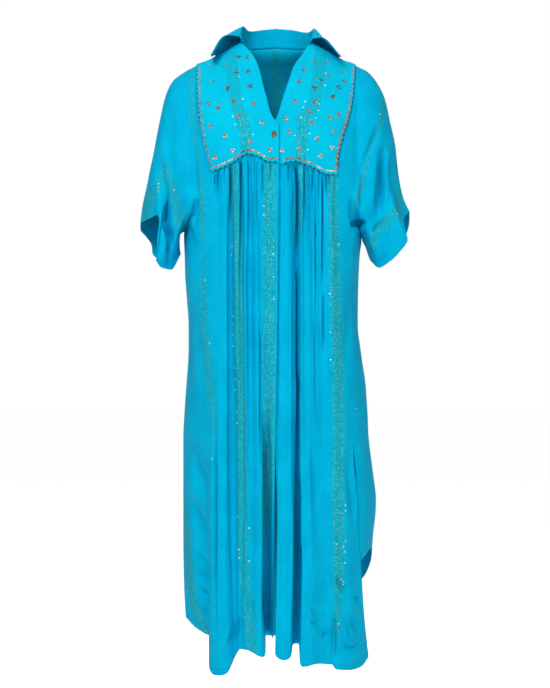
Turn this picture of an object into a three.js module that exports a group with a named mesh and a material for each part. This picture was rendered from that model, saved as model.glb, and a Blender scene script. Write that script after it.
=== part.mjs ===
// Kaftan with a spread collar, an embroidered bib, a gathered front open down its middle and short
// sleeves cut in one with the body. It hangs in its worn shape, hollow, as thin walls of cloth.
//
// Millimetres, +Z up. The front faces -Y and +X is the viewer's right. The origin lies midway between
// the shoulders at the base of the neck, where the wearer carries the garment. Left and right are the
// viewer's throughout.

import * as THREE from 'three';

// Driving sizes
const WALL = 1.6; // thickness of the cloth
const SEAM_GAP = 0.4; // parting between two pieces sewn edge to edge
const LAP_GAP = 0.8; // parting between two pieces that lie on each other
const LAP = 6; // how far one piece reaches under the edge of another
const ROUNDNESS = 2.3; // exponent of the body's sections, 2 is an ellipse
const SHOULDER_ROLL = 110; // height over which the chest and back round up into the shoulder
const FOLD_HEIGHTS = { seam: -240, mid: -600, knee: -880 }; // heights at which the folds are given
const SLIT_TOP = -790; // height at which the side slits begin
const CENTRE_UNDER = 2 * (WALL + LAP_GAP); // how deep the right front lies under the left one
const SIDE_BLEND = 200; // height over which the side columns settle into their places in the skirt
const CORNER_BLEND = 22; // height below the bib's corner where the rows begin to level out
const CHEST_ROW = -315; // height of the last row above the underarm
const BACK_FOLD_RISE = 500; // height over which a fold of the back grows to its full depth
// Half a sleeve: its depth at the armhole and the cuff, the exponent of its section, the share of its
// length where the body's depth has died out, and the share where the hem's own depth takes over.
const SLEEVE = { armhole: 58, cuff: 64, roundness: 2.2, bodyEnds: 0.5, hemBegins: 0.55, least: 1.7 };
const CLOTH = { colour: 0x00b2dc, roughness: 0.62, metalness: 0 };
const BUTTON = { width: 10, height: 15, depth: 3, across: -4, up: -174, seat: 0.6, colour: 0x9a6a42 };

// Builds a table: one object for each row, with the names of its columns.
function table(names, rows) {
  return rows.map((row) => Object.fromEntries(names.map((name, i) => [name, row[i]])));
}

// Half widths and depths of the body, one row for each height.
const BODY = table(['z', 'left', 'right', 'front', 'back'], [
  [60, 205, 205, 56, 64],
  [0, 205, 205, 66, 78],
  [-40, 205, 205, 80, 92],
  [-100, 205, 204, 98, 106],
  [-160, 205, 202, 112, 114],
  [-230, 205, 200, 122, 117],
  [-315, 201, 193, 122, 114],
  [-370, 190, 177, 121, 111],
  [-463, 185.7, 169, 121, 110],
  [-566, 179, 168, 124, 114],
  [-620, 179.5, 176, 126, 120],
  [-690, 184.5, 185, 129, 126],
  [-790, 190, 190.6, 132, 130],
  [-850, 190, 198, 134, 131],
  [-920, 190, 205, 136, 132],
  [-990, 190, 199, 137, 132],
  [-1060, 189, 196, 138, 132],
  [-1160, 186, 197, 140, 132],
  [-1260, 186, 200, 141, 132],
]);

// Height of the shoulder line against the distance from the middle.
const RIDGE = table(['out', 'z'], [
  [0, 46],
  [40, 36],
  [74, 22],
  [100, 8],
  [120, -4],
  [138, -14],
  [158, -21],
  [166, -25],
]);

// Rows of the upper part, as shares of the height from the shoulder to the foot of the bib.
const UPPER_ROWS = [0, 0.02, 0.07, 0.16, 0.3, 0.5, 0.75];
// Rows below the underarm, and the last rows as shares of the way down to the hem.
const LOWER_ROWS = [-410, -455, -505, -560, -620, -680, -735, -790, -850, -910, -970, -1030, -1090];
const HEM_ROWS = [0.4, 0.75, 1];
// Columns along a sleeve, as shares of its length.
const SLEEVE_STEPS = [0.08, 0.17, 0.28, 0.42, 0.58, 0.75, 0.9, 1];
const HEM_FROM = LOWER_ROWS[LOWER_ROWS.length - 1];

// Share of their depth that the gathers have in the rows at and just below the bib.
const BIB_FADE = [0.35, 0.5, 0.9, 1];

// The row at the foot of the bib and the row at the underarm.
const ROW = { bib: UPPER_ROWS.length, arm: UPPER_ROWS.length + BIB_FADE.length };

// The left half of the front, seen by the viewer. Its folds run from the middle outwards: x at the bib,
// at mid height and at the hem, how far each stands out there, and the height of its hem. The first
// few have a knee as well, which keeps the middle closed below mid height. A seam's turn is given in
// degrees from the middle of the front, and the first lapped columns lie under the other half.
const LEFT = {
  sign: -1,
  underarmZ: -365,
  cornerZ: -251,
  bibEdge: table(['z', 'x'], [[-22, -162], [-93, -159], [-148, -153], [-202, -142], [-251, -129]]),
  bibFoot: table(['x', 'z'], [
    [-129, -251],
    [-106, -243],
    [-83, -232],
    [-62, -218],
    [-54, -217],
    [-44, -219],
    [-29, -225],
    [-19, -232],
    [-2, -233],
    [16, -235],
  ]),
  neckEdge: table(['z', 'x'], [
    [22, -74],
    [14, -66],
    [-11, -46],
    [-97, -20],
    [-146, -4],
    [-156, 6],
    [-235, 6],
  ]),
  armhole: table(['z', 'x'], [[-25, -164], [-180, -164], [-300, -163], [-340, -171], [-365, -188.6]]),
  seam: table(['z', 'turn'], [[-365, 90], [-1060, 90], [-1160, 79]]),
  lapped: 0,
  knee: table(['x', 'out'], [[-3, -2], [-10, -4], [-18, -14], [-23, -8]]),
  folds: table(['seam', 'mid', 'low', 'outSeam', 'outMid', 'outLow', 'hem'], [
    [6, 2, -6, 0, 0, -46, -1184],
    [-1, -6, -12, 0, 0, -58, -1176],
    [-12, -15, -18, 0, -2, -66, -1174],
    [-21, -25, -20, -1, -6, -18, -1208],
    [-31, -31, -26, -4, -2, 2, -1213],
    [-39, -38, -36, 2, 4, 6, -1210],
    [-52, -51, -50, -9, -7, 0, -1203],
    [-62, -60, -60, 3, 2, -2, -1200],
    [-71, -67, -69, -9, -7, -9, -1200],
    [-82, -77, -75, 3, 2, -11, -1204],
    [-92, -90, -82, -10, -11, -15, -1218],
    [-99, -98, -88, 3, 4, -2, -1231],
    [-107, -108, -97, 1, 6, 10, -1246],
    [-115, -116, -113, -4, 6, 14, -1251],
    [-123, -126, -127, 0, 4, 12, -1249],
    [-133, -136, -134, 0, 2, 2, -1232],
    [-146, -147, -128, 0, 0, -20, -1186],
    [-157, -159, -144, 0, 0, -22, -1176],
    [-172, -171, -163, 0, 0, -12, -1165],
    [-190, -180, -183, 0, 0, 0, -1150],
  ]),
  bibColumn: 14,
  bibColumns: [0, 0.11, 0.22, 0.33, 0.44, 0.55, 0.66, 0.77, 0.89, 1],
  overarm: table(['x', 'z'], [
    [-164, -25],
    [-186, -37],
    [-203, -47],
    [-215, -61],
    [-225, -84],
    [-232, -107],
    [-238, -141],
    [-250, -201],
    [-262, -258],
    [-275, -318],
    [-278, -346],
  ]),
  underarm: table(['x', 'z'], [[-188.6, -365], [-195, -369], [-197, -381], [-197, -396], [-195, -410]]),
  frontHem: table(['share', 'x', 'z', 'y'], [
    [0, -278, -346, 0],
    [0.2, -256, -339, 40],
    [0.36, -238, -333, 56],
    [0.46, -234, -352, 68],
    [0.56, -237, -392, 74],
    [0.65, -241, -422, 70],
    [0.73, -232, -439, 58],
    [0.853, -213, -443, 38],
    [1, -195, -410, 0],
  ]),
  backHem: table(['share', 'x', 'z', 'y'], [
    [0, -278, -346, 0],
    [0.2, -279, -360, 16],
    [0.4, -263, -378, 40],
    [0.55, -257, -393, 47],
    [0.7, -254, -410, 47],
    [0.82, -234, -424, 40],
    [0.92, -212, -425, 22],
    [1, -195, -410, 0],
  ]),
};

// The right half of the front, with the same columns. Its first folds pass under the left half.
const RIGHT = {
  sign: 1,
  underarmZ: -377,
  cornerZ: -257,
  bibEdge: table(['z', 'x'], [[-22, 162], [-76, 157], [-129, 149], [-173, 136], [-212, 126], [-257, 123]]),
  bibFoot: table(['x', 'z'], [
    [-16, -236],
    [13, -237],
    [24, -234],
    [41, -232],
    [52, -236],
    [72, -243],
    [87, -251],
    [98, -256],
    [123, -257],
  ]),
  neckEdge: table(['z', 'x'], [
    [22, 74],
    [6, 61],
    [-5, 55],
    [-35, 36],
    [-65, 26],
    [-101, 14],
    [-140, 2],
    [-160, -9],
    [-236, -10],
  ]),
  armhole: table(['z', 'x'], [[-25, 164], [-180, 164], [-300, 158], [-345, 162], [-377, 175.3]]),
  seam: table(['z', 'turn'], [
    [-377, 90],
    [-463, 88],
    [-566, 83],
    [-620, 76],
    [-680, 68],
    [-735, 59],
    [-790, 52],
    [-850, 50.5],
    [-958, 52],
    [-1030, 58],
    [-1140, 63],
    [-1225, 69],
  ]),
  lapped: 2,
  knee: table(['x', 'out'], [[1, -CENTRE_UNDER], [3, -2], [6, 0]]),
  folds: table(['seam', 'mid', 'low', 'outSeam', 'outMid', 'outLow', 'hem'], [
    [-10, -11, 4, -CENTRE_UNDER, -CENTRE_UNDER, -34, -1188],
    [7, 3, -2, -CENTRE_UNDER, -CENTRE_UNDER, -3, -1206],
    [13, 8, 4, 0, 0, 2, -1215],
    [22, 20, 16, -3, 0, 6, -1219],
    [30, 29, 29, 4, 6, 4, -1212],
    [38, 38, 35, -15, -17, -28, -1194],
    [43, 44, 44, -9, -12, -28, -1192],
    [48, 50, 48, 3, 4, 0, -1228],
    [57, 58, 60, -4, 0, 5, -1232],
    [64, 66, 72, 3, 3, 6, -1229],
    [72, 73, 82, -5, -1, 1, -1228],
    [79, 82, 92, 2, -5, -3, -1229],
    [91, 93, 102, -6, -7, -5, -1231],
    [99, 104, 112, -4, -2, -3, -1232],
    [109, 115, 118, 3, 3, 1, -1240],
    [117, 127, 133, 0, 2, 4, -1243],
    [130, 139, 149, 0, 3, 7, -1244],
    [145, 151, 163, 0, 1, 5, -1243],
    [160, 161, 176, 0, 0, 0, -1239],
    [175, 171, 188, 0, 0, 0, -1226],
  ]),
  bibColumn: 15,
  bibColumns: [0, 0.128, 0.173, 0.28, 0.4, 0.52, 0.64, 0.76, 0.88, 1],
  overarm: table(['x', 'z'], [
    [164, -25],
    [174, -29],
    [194, -42],
    [203, -53],
    [213, -70],
    [222, -88],
    [228, -115],
    [235, -143],
    [249, -213],
    [253, -259],
    [266, -308],
    [274, -323],
  ]),
  underarm: table(['x', 'z'], [[175.3, -377], [178, -385], [184, -396], [188, -410], [193, -423]]),
  frontHem: table(['share', 'x', 'z', 'y'], [
    [0, 274, -323, 0],
    [0.14, 260, -341, 30],
    [0.3, 260, -355, 50],
    [0.45, 267, -378, 58],
    [0.6, 253, -404, 60],
    [0.72, 233, -425, 54],
    [0.824, 210, -439, 36],
    [1, 193, -423, 0],
  ]),
  backHem: table(['share', 'x', 'z', 'y'], [
    [0, 274, -323, 0],
    [0.25, 275, -343, 20],
    [0.5, 267, -374, 45],
    [0.7, 245, -405, 45],
    [0.86, 217, -425, 30],
    [1, 193, -423, 0],
  ]),
};

// The back: its neck edge, its hem against the share across, and its soft folds.
const BACK_COLUMNS = 26;
const BACK_NECK = table(['out', 'z'], [[0, 20], [30, 17], [55, 14], [68, 17], [74, 22]]);
const BACK_HEM = table(['across', 'z'], [
  [-1, -1120],
  [-0.85, -1172],
  [-0.5, -1205],
  [0, -1212],
  [0.2, -1180],
  [0.35, -1130],
  [0.47, -1092],
  [0.55, -1074],
  [0.63, -1050],
  [0.7, -1028],
  [0.77, -1010],
  [0.84, -1010],
  [0.93, -1024],
  [1, -1034],
]);
const BACK_ROWS = { from: -850, to: -1212 }; // heights between which the rows close up to a higher hem
const BACK_EDGE = {
  left: table(['z', 'turn', 'sunk'], [[-790, 90, 0], [-850, 94, 0], [-1000, 108, 0], [-1120, 116, 0]]),
  right: table(['z', 'turn', 'sunk'], [[-790, 52, 0], [-850, 51.5, 5], [-910, 48, 7], [-1060, 55, 7]]),
};
const BACK_FOLDS = table(['across', 'width', 'out', 'from'], [
  [-0.72, 0.07, -9, -420],
  [-0.5, 0.08, 7, -300],
  [-0.27, 0.06, -10, -360],
  [-0.06, 0.09, 8, -260],
  [0.16, 0.06, -9, -330],
  [0.38, 0.08, 7, -400],
  [0.58, 0.06, -9, -300],
  [0.8, 0.07, 6, -500],
]);

// The collar, one row for each station around the neck. Degrees run from the nape, minus to the left.
// The roll lies above the neck seam, and the middle and edge of the leaf lie out and up from the roll.
const COLLAR = table(
  ['around', 'rise', 'lean', 'midOut', 'midUp', 'edgeOut', 'edgeUp', 'forward'],
  [
    [-118, 15, 14, 34, -4, 59, -42, 10],
    [-100, 28, -2, 34, -20, 60, -61, 7],
    [-72, 34, -8, 30, -16, 55, -57, 4],
    [-38, 38, -1, 17, -14, 24, -56, 0],
    [0, 40, 2, 12, -15, 14, -60, 0],
    [38, 38, -1, 17, -14, 24, -56, 0],
    [72, 29, 3, 25, -20, 50, -57, 4],
    [98, 25, 5, 23, -25, 55, -58, 7],
    [118, 12, 14, 26, -4, 57, -42, 10],
  ],
);
const COLLAR_BASE = { across: 74, deep: 57, overBib: WALL + LAP_GAP + 0.6, overBack: 0.9 };
const COLLAR_SHARES = [0, 0.5, 0.88, 1, 1.12, 1.5, 2, 2.5, 3];
const COLLAR_STEP = 8; // degrees between two stations
const BACK_SHOULDER = 164; // half width of the back along its shoulder line

function mix(a, b, share) {
  return a + (b - a) * share;
}

function smooth(from, to, value) {
  const share = Math.min(Math.max((value - from) / (to - from), 0), 1);
  return share * share * (3 - 2 * share);
}

// Reads a column of a table at a value of its key column, on a smooth curve through the rows.
function read(rows, key, value, column) {
  const rising = rows[rows.length - 1][key] > rows[0][key];
  const list = rising ? rows : [...rows].reverse();
  const last = list.length - 1;
  if (value <= list[0][key]) return list[0][column];
  if (value >= list[last][key]) return list[last][column];
  let i = 0;
  while (value > list[i + 1][key]) i += 1;
  const slope = (a, b) => (b[column] - a[column]) / (b[key] - a[key]);
  const chord = slope(list[i], list[i + 1]);
  const before = i > 0 ? slope(list[i - 1], list[i]) : chord;
  const after = i + 1 < last ? slope(list[i + 1], list[i + 2]) : chord;
  const start = before * chord > 0 ? (before + chord) / 2 : 0;
  const end = after * chord > 0 ? (after + chord) / 2 : 0;
  const span = list[i + 1][key] - list[i][key];
  const t = (value - list[i][key]) / span;
  const t2 = t * t;
  const t3 = t2 * t;
  return (2 * t3 - 3 * t2 + 1) * list[i][column] + (t3 - 2 * t2 + t) * span * start
    + (3 * t2 - 2 * t3) * list[i + 1][column] + (t3 - t2) * span * end;
}

// The point at a share of the length of a curve given by a table of points.
function along(rows, share) {
  const lengths = [0];
  for (let i = 1; i < rows.length; i += 1) {
    lengths.push(lengths[i - 1] + Math.hypot(rows[i].x - rows[i - 1].x, rows[i].z - rows[i - 1].z));
  }
  const marked = rows.map((row, i) => ({ at: lengths[i] / lengths[rows.length - 1], x: row.x, z: row.z }));
  return { x: read(marked, 'at', share, 'x'), z: read(marked, 'at', share, 'z') };
}

// Share of the section's depth that is left at x, from 1 in the middle to 0 at the side.
function sectionShare(x, z) {
  const width = read(BODY, 'z', z, x < 0 ? 'left' : 'right');
  const out = Math.min(Math.abs(x) / width, 1);
  return (1 - out ** ROUNDNESS) ** (1 / ROUNDNESS);
}

// How much of the depth is reached below the shoulder line, from 0 on it to 1 well under it.
function shoulderShare(x, z) {
  const under = Math.min(Math.max((read(RIDGE, 'out', Math.abs(x), 'z') - z) / SHOULDER_ROLL, 0), 1);
  return Math.sqrt(1 - (1 - under) ** 2);
}

// Depth of the front or back surface at x and z, before its folds.
function depthAt(x, z, face) {
  return read(BODY, 'z', z, face) * sectionShare(x, z) * shoulderShare(x, z);
}

// Point of the body's section at a turn in degrees from the middle of the front, to one side.
function sectionPoint(turn, z, sign) {
  const angle = THREE.MathUtils.degToRad(turn);
  const cosine = Math.cos(angle);
  const width = read(BODY, 'z', z, sign < 0 ? 'left' : 'right');
  const depth = read(BODY, 'z', z, cosine > 0 ? 'front' : 'back');
  const x = sign * width * Math.sin(angle) ** (2 / ROUNDNESS);
  const y = -Math.sign(cosine) * depth * Math.abs(cosine) ** (2 / ROUNDNESS);
  return new THREE.Vector3(x, y, z);
}

// Unit tangent of the section at a turn, which points on round the body towards the back.
function sectionTangent(turn, z, sign) {
  return sectionPoint(turn + 1, z, sign).sub(sectionPoint(turn - 1, z, sign)).normalize();
}

// A sheet of cloth: points on its outer face joined by four-sided cells, and at a seam the direction
// across it, which keeps the cut edge square.
class Sheet {
  constructor(facing) {
    this.facing = facing;
    this.points = [];
    this.across = [];
    this.cells = [];
    this.index = new Map();
  }

  add(row, column, point, across = null) {
    this.index.set(`${row},${column}`, this.points.length);
    this.points.push(point);
    this.across.push(across);
  }

  id(row, column) {
    return this.index.get(`${row},${column}`);
  }

  // Joins every four neighbours that exist into a cell, from the first column to the last.
  join(lastRow, lastColumn, firstColumn = 0) {
    for (let row = 0; row < lastRow; row += 1) {
      for (let column = firstColumn; column < lastColumn; column += 1) {
        const cell = [
          this.id(row, column),
          this.id(row + 1, column),
          this.id(row + 1, column + 1),
          this.id(row, column + 1),
        ];
        if (cell.every((id) => id !== undefined)) this.cells.push(cell);
      }
    }
  }
}

// Normal of a four-sided cell, as long as its area.
function cellNormal(points, cell) {
  const first = points[cell[2]].clone().sub(points[cell[0]]);
  const second = points[cell[3]].clone().sub(points[cell[1]]);
  return first.cross(second).multiplyScalar(0.5);
}

// Normals at the points of a sheet, turned to the side that it faces.
function sheetNormals(sheet) {
  const normals = sheet.points.map(() => new THREE.Vector3());
  const total = new THREE.Vector3();
  for (const cell of sheet.cells) {
    const normal = cellNormal(sheet.points, cell);
    total.add(normal);
    cell.forEach((id) => normals[id].add(normal));
  }
  const flip = total.dot(sheet.facing) < 0;
  normals.forEach((normal, id) => {
    if (flip) normal.negate();
    const across = sheet.across[id];
    if (across) normal.addScaledVector(across, -normal.dot(across));
    normal.normalize();
  });
  return { normals, flip };
}

// Gives a sheet its wall: the outer face is lifted off the points, and the inner face lies behind it.
function thicken(sheet, lift = 0) {
  const { normals, flip } = sheetNormals(sheet);
  const count = sheet.points.length;
  const face = (out) => sheet.points.map((point, id) => point.clone().addScaledVector(normals[id], out));
  const vertices = [...face(lift), ...face(lift - WALL)];
  const faces = [];
  const edges = new Map();
  for (const source of sheet.cells) {
    const cell = flip ? [...source].reverse() : source;
    const [a, b, c, d] = cell;
    const [first, second] = [[a, c], [b, d]].map(([i, j]) => sheet.points[i].distanceTo(sheet.points[j]));
    const halves = first > second ? [[a, b, d], [b, c, d]] : [[a, b, c], [a, c, d]];
    for (const [i, j, k] of halves) faces.push([i, j, k], [i + count, k + count, j + count]);
    cell.forEach((from, i) => edges.set(`${from},${cell[(i + 1) % 4]}`, [from, cell[(i + 1) % 4]]));
  }
  for (const [from, to] of edges.values()) {
    if (edges.has(`${to},${from}`)) continue;
    faces.push([to, from, from + count], [to, from + count, to + count]);
  }
  const geometry = new THREE.BufferGeometry();
  const numbers = vertices.flatMap((vertex) => vertex.toArray());
  geometry.setAttribute('position', new THREE.Float32BufferAttribute(numbers, 3));
  geometry.setIndex(faces.flat());
  geometry.computeVertexNormals();
  return geometry;
}

const FRONT = new THREE.Vector3(0, -1, 0);
const REAR = new THREE.Vector3(0, 1, 0);

// Heights of all rows at the side of one half, from the shoulder to the last row above the hem.
function sideHeights(half) {
  const top = half.armhole[0].z;
  const foot = half.cornerZ + LAP;
  const upper = UPPER_ROWS.map((share) => mix(top, foot, share));
  const bib = [foot, half.cornerZ - 2, half.cornerZ - CORNER_BLEND, CHEST_ROW];
  return [...upper, ...bib, half.underarmZ, ...LOWER_ROWS];
}

// Height of a row, which runs down to the hem past the last fixed one.
function rowHeight(heights, row, hem) {
  if (row < heights.length) return heights[row];
  return mix(HEM_FROM, hem, HEM_ROWS[row - heights.length]);
}

// Height of a row of the back, whose lower rows share out the height down to the hem.
function backRowHeight(heights, row, hem) {
  const z = rowHeight(heights, row, BACK_ROWS.to);
  if (z >= BACK_ROWS.from) return z;
  return mix(BACK_ROWS.from, hem, (z - BACK_ROWS.from) / (BACK_ROWS.to - BACK_ROWS.from));
}

const LAST_ROW = ROW.arm + LOWER_ROWS.length + HEM_ROWS.length;

// Where a fold lies and how far it stands out at a height, with a knee where it has one.
function foldAt(fold, knee, z) {
  const rows = [
    { z: FOLD_HEIGHTS.seam, x: fold.seam, out: fold.outSeam },
    { z: FOLD_HEIGHTS.mid, x: fold.mid, out: fold.outMid },
    { z: fold.hem, x: fold.low, out: fold.outLow },
  ];
  if (knee) rows.splice(2, 0, { z: FOLD_HEIGHTS.knee, x: knee.x, out: knee.out });
  return { x: read(rows, 'z', z, 'x'), out: read(rows, 'z', z, 'out') };
}

// Share of a sleeve's length, measured down the armhole, for each of its rows.
function sleeveShares(half, heights) {
  const top = heights[0];
  return heights.slice(0, ROW.arm + 1).map((z) => (top - z) / (top - half.underarmZ));
}

// Adds half a sleeve to a panel: rows run down the arm's width, columns from the armhole to the hem.
function addSleeve(sheet, half, heights, hem, facing, place) {
  const shares = sleeveShares(half, heights);
  const armhole = shares.map((share, row) => sheet.points[sheet.id(row, place(0))]);
  SLEEVE_STEPS.forEach((t, step) => {
    const over = along(half.overarm, t);
    const under = along(half.underarm, t);
    shares.forEach((s, row) => {
      const start = armhole[row];
      const end = Object.fromEntries(['x', 'y', 'z'].map((axis) => [axis, read(hem, 'share', s, axis)]));
      const blend = (axis) => {
        const first = half.overarm[0][axis];
        const tip = half.overarm[half.overarm.length - 1][axis];
        const pit = half.underarm[0][axis];
        const drop = half.underarm[half.underarm.length - 1][axis];
        const ruled = mix(start[axis], end[axis], t) + mix(over[axis], under[axis], s);
        return ruled - mix(mix(first, tip, t), mix(pit, drop, t), s);
      };
      const round = (1 - Math.abs(2 * s - 1) ** SLEEVE.roundness) ** (1 / SLEEVE.roundness);
      const leave = smooth(0, SLEEVE.bodyEnds, t);
      const tube = mix(Math.abs(start.y), mix(SLEEVE.armhole, SLEEVE.cuff, t) * round, leave);
      const depth = mix(tube, end.y, smooth(SLEEVE.hemBegins, 1, t));
      const edge = row === 0 || row === ROW.arm;
      const y = edge ? SEAM_GAP / 2 : Math.max(depth, SLEEVE.least);
      const point = new THREE.Vector3(blend('x'), facing.y * y, blend('z'));
      sheet.add(row, place(step + 1), point, edge ? facing : null);
    });
  });
}

// One half of the front with the front half of its sleeve.
function frontSheet(half) {
  const sheet = new Sheet(FRONT);
  const heights = sideHeights(half);
  const last = half.folds.length - 1;
  half.folds.forEach((fold, column) => {
    const side = (column - half.bibColumn) / (last - half.bibColumn);
    const firstRow = side < 0 ? ROW.bib : 0;
    for (let row = firstRow; row <= LAST_ROW; row += 1) {
      let z = rowHeight(heights, row, fold.hem);
      const knee = half.knee[column];
      let { x, out } = foldAt(fold, knee, z);
      if (side < 0 && row < ROW.arm) {
        const foot = read(half.bibFoot, 'x', fold.seam, 'z');
        z += (foot - half.cornerZ) * (1 - smooth(half.cornerZ - CORNER_BLEND, half.underarmZ, z));
        const fade = column < half.lapped ? 1 : BIB_FADE[row - ROW.bib];
        out = Math.min(out, 0) * fade + Math.max(out, 0) * (row < ROW.bib + 2 ? 0 : fade);
        ({ x } = foldAt(fold, knee, z));
      }
      if (side >= 0 && row <= ROW.arm) {
        const inner = read(half.bibEdge, 'z', z, 'x') - half.sign * LAP;
        x = mix(inner, read(half.armhole, 'z', z, 'x'), side);
        out = 0;
      }
      if (side > 0 && row > ROW.arm) {
        const from = foldAt(half.folds[half.bibColumn], null, z).x;
        const reach = (x - from) / (foldAt(half.folds[last], null, z).x - from);
        const share = mix(side, reach, smooth(heights[ROW.arm], heights[ROW.arm] - SIDE_BLEND, z));
        x = mix(from, sectionPoint(read(half.seam, 'z', z, 'turn'), z, half.sign).x, share);
      }
      const seam = column === last;
      let across = null;
      let y = -depthAt(x, z, 'front') - out;
      if (seam && row > ROW.arm) {
        const turn = read(half.seam, 'z', z, 'turn');
        across = sectionTangent(turn, z, half.sign);
        const edge = sectionPoint(turn, z, half.sign).addScaledVector(across, -SEAM_GAP / 2);
        ({ x, y } = edge);
      }
      if (row === 0) {
        across = FRONT;
        y = -SEAM_GAP / 2;
        z = read(RIDGE, 'out', Math.abs(x), 'z');
      }
      if (seam && row === ROW.arm) {
        across = FRONT;
        x = half.underarm[0].x;
        y = -SEAM_GAP / 2;
      }
      sheet.add(row, column, new THREE.Vector3(x, y, z), across);
    }
  });
  addSleeve(sheet, half, heights, half.frontHem, FRONT, (step) => last + step);
  sheet.join(LAST_ROW, last + SLEEVE_STEPS.length);
  return sheet;
}

// One half of the bib, between the shoulder, the neck edge, its outer edge and its waved foot.
function bibSheet(half) {
  const sheet = new Sheet(FRONT);
  const rows = [0, 0.025, 0.06, 0.11, 0.18, 0.27, 0.37, 0.48, 0.59, 0.69, 0.76, 0.84, 0.92, 1];
  const columns = half.bibColumns.length - 1;
  const neck = half.neckEdge;
  const edge = half.bibEdge;
  const point = (rowsOf, share) => {
    const z = mix(rowsOf[0].z, rowsOf[rowsOf.length - 1].z, share);
    return { x: read(rowsOf, 'z', z, 'x'), z };
  };
  rows.forEach((v, row) => {
    const inner = point(neck, v);
    const outer = point(edge, v);
    for (let column = 0; column <= columns; column += 1) {
      const u = half.bibColumns[column];
      const topX = mix(neck[0].x, edge[0].x, u);
      const footX = mix(neck[neck.length - 1].x, edge[edge.length - 1].x, u);
      const top = { x: topX, z: read(RIDGE, 'out', Math.abs(topX), 'z') };
      const foot = { x: footX, z: read(half.bibFoot, 'x', footX, 'z') };
      const blend = (axis) => {
        const corners = mix(
          mix(neck[0][axis], edge[0][axis], u),
          mix(neck[neck.length - 1][axis], edge[edge.length - 1][axis], u),
          v,
        );
        return mix(inner[axis], outer[axis], u) + mix(top[axis], foot[axis], v) - corners;
      };
      const x = blend('x');
      const z = blend('z');
      const lapped = column < half.lapped ? CENTRE_UNDER * smooth(-128, -150, z) : 0;
      const y = row === 0 ? -SEAM_GAP / 2 : -depthAt(x, z, 'front') + lapped;
      sheet.add(row, column, new THREE.Vector3(x, y, z), row === 0 ? FRONT : null);
    }
  });
  sheet.join(rows.length - 1, columns);
  return sheet;
}

// Depth of the back's folds at a share across and a height.
function backFolds(across, z) {
  return BACK_FOLDS.reduce((sum, fold) => {
    const near = Math.exp(-(((across - fold.across) / fold.width) ** 2));
    return sum + fold.out * near * smooth(fold.from, fold.from - BACK_FOLD_RISE, z);
  }, 0);
}

// The back, with the back halves of both sleeves.
function backSheet() {
  const sheet = new Sheet(REAR);
  const left = sideHeights(LEFT);
  const right = sideHeights(RIGHT);
  for (let column = 0; column <= BACK_COLUMNS; column += 1) {
    const across = (2 * column) / BACK_COLUMNS - 1;
    const half = across < 0 ? LEFT : RIGHT;
    const end = Math.abs(across) === 1;
    const hem = read(BACK_HEM, 'across', across, 'z');
    for (let row = 0; row <= LAST_ROW; row += 1) {
      const share = (across + 1) / 2;
      let z = mix(backRowHeight(left, row, hem), backRowHeight(right, row, hem), share);
      let x = 0;
      let y = 0;
      let seam = null;
      if (row <= ROW.arm) {
        const reach = Math.abs(read(half.armhole, 'z', z, 'x'));
        x = Math.sign(across) * reach * Math.abs(across);
        if (row < ROW.bib) {
          const out = Math.abs(across) * BACK_SHOULDER;
          const line = out < COLLAR_BASE.across ? BACK_NECK : RIDGE;
          const top = read(line, 'out', out, 'z');
          z = mix(top, mix(left[ROW.bib], right[ROW.bib], share), UPPER_ROWS[row]);
        }
        y = depthAt(x, z, 'back');
        if (Math.abs(x) < COLLAR_BASE.across) {
          const neck = COLLAR_BASE.deep * Math.sqrt(1 - (x / COLLAR_BASE.across) ** 2);
          y = mix(neck, y, smooth(0, 0.1, UPPER_ROWS[row] ?? 1));
        }
        if (row === 0 && Math.abs(x) > COLLAR_BASE.across - 1) {
          y = SEAM_GAP / 2;
          seam = REAR;
        }
        if (end && row === ROW.arm) {
          x = half.underarm[0].x;
          y = SEAM_GAP / 2;
          seam = REAR;
        }
      } else {
        const side = across < 0 ? -1 : 1;
        const free = across < 0 ? BACK_EDGE.left : BACK_EDGE.right;
        const turn = z > SLIT_TOP ? read(half.seam, 'z', z, 'turn') : read(free, 'z', z, 'turn');
        ({ x, y } = sectionPoint(mix(180, turn, Math.abs(across)), z, side));
        y += backFolds(across, z);
        if (end) {
          seam = sectionTangent(turn, z, side);
          x += seam.x * (SEAM_GAP / 2);
          y += seam.y * (SEAM_GAP / 2) + read(free, 'z', z, 'sunk');
        }
      }
      sheet.add(row, column, new THREE.Vector3(x, y, z), seam);
    }
  }
  addSleeve(sheet, LEFT, left, LEFT.backHem, REAR, (step) => -step);
  addSleeve(sheet, RIGHT, right, RIGHT.backHem, REAR, (step) => BACK_COLUMNS + step);
  sheet.join(LAST_ROW, BACK_COLUMNS + SLEEVE_STEPS.length, -SLEEVE_STEPS.length);
  return sheet;
}

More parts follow.
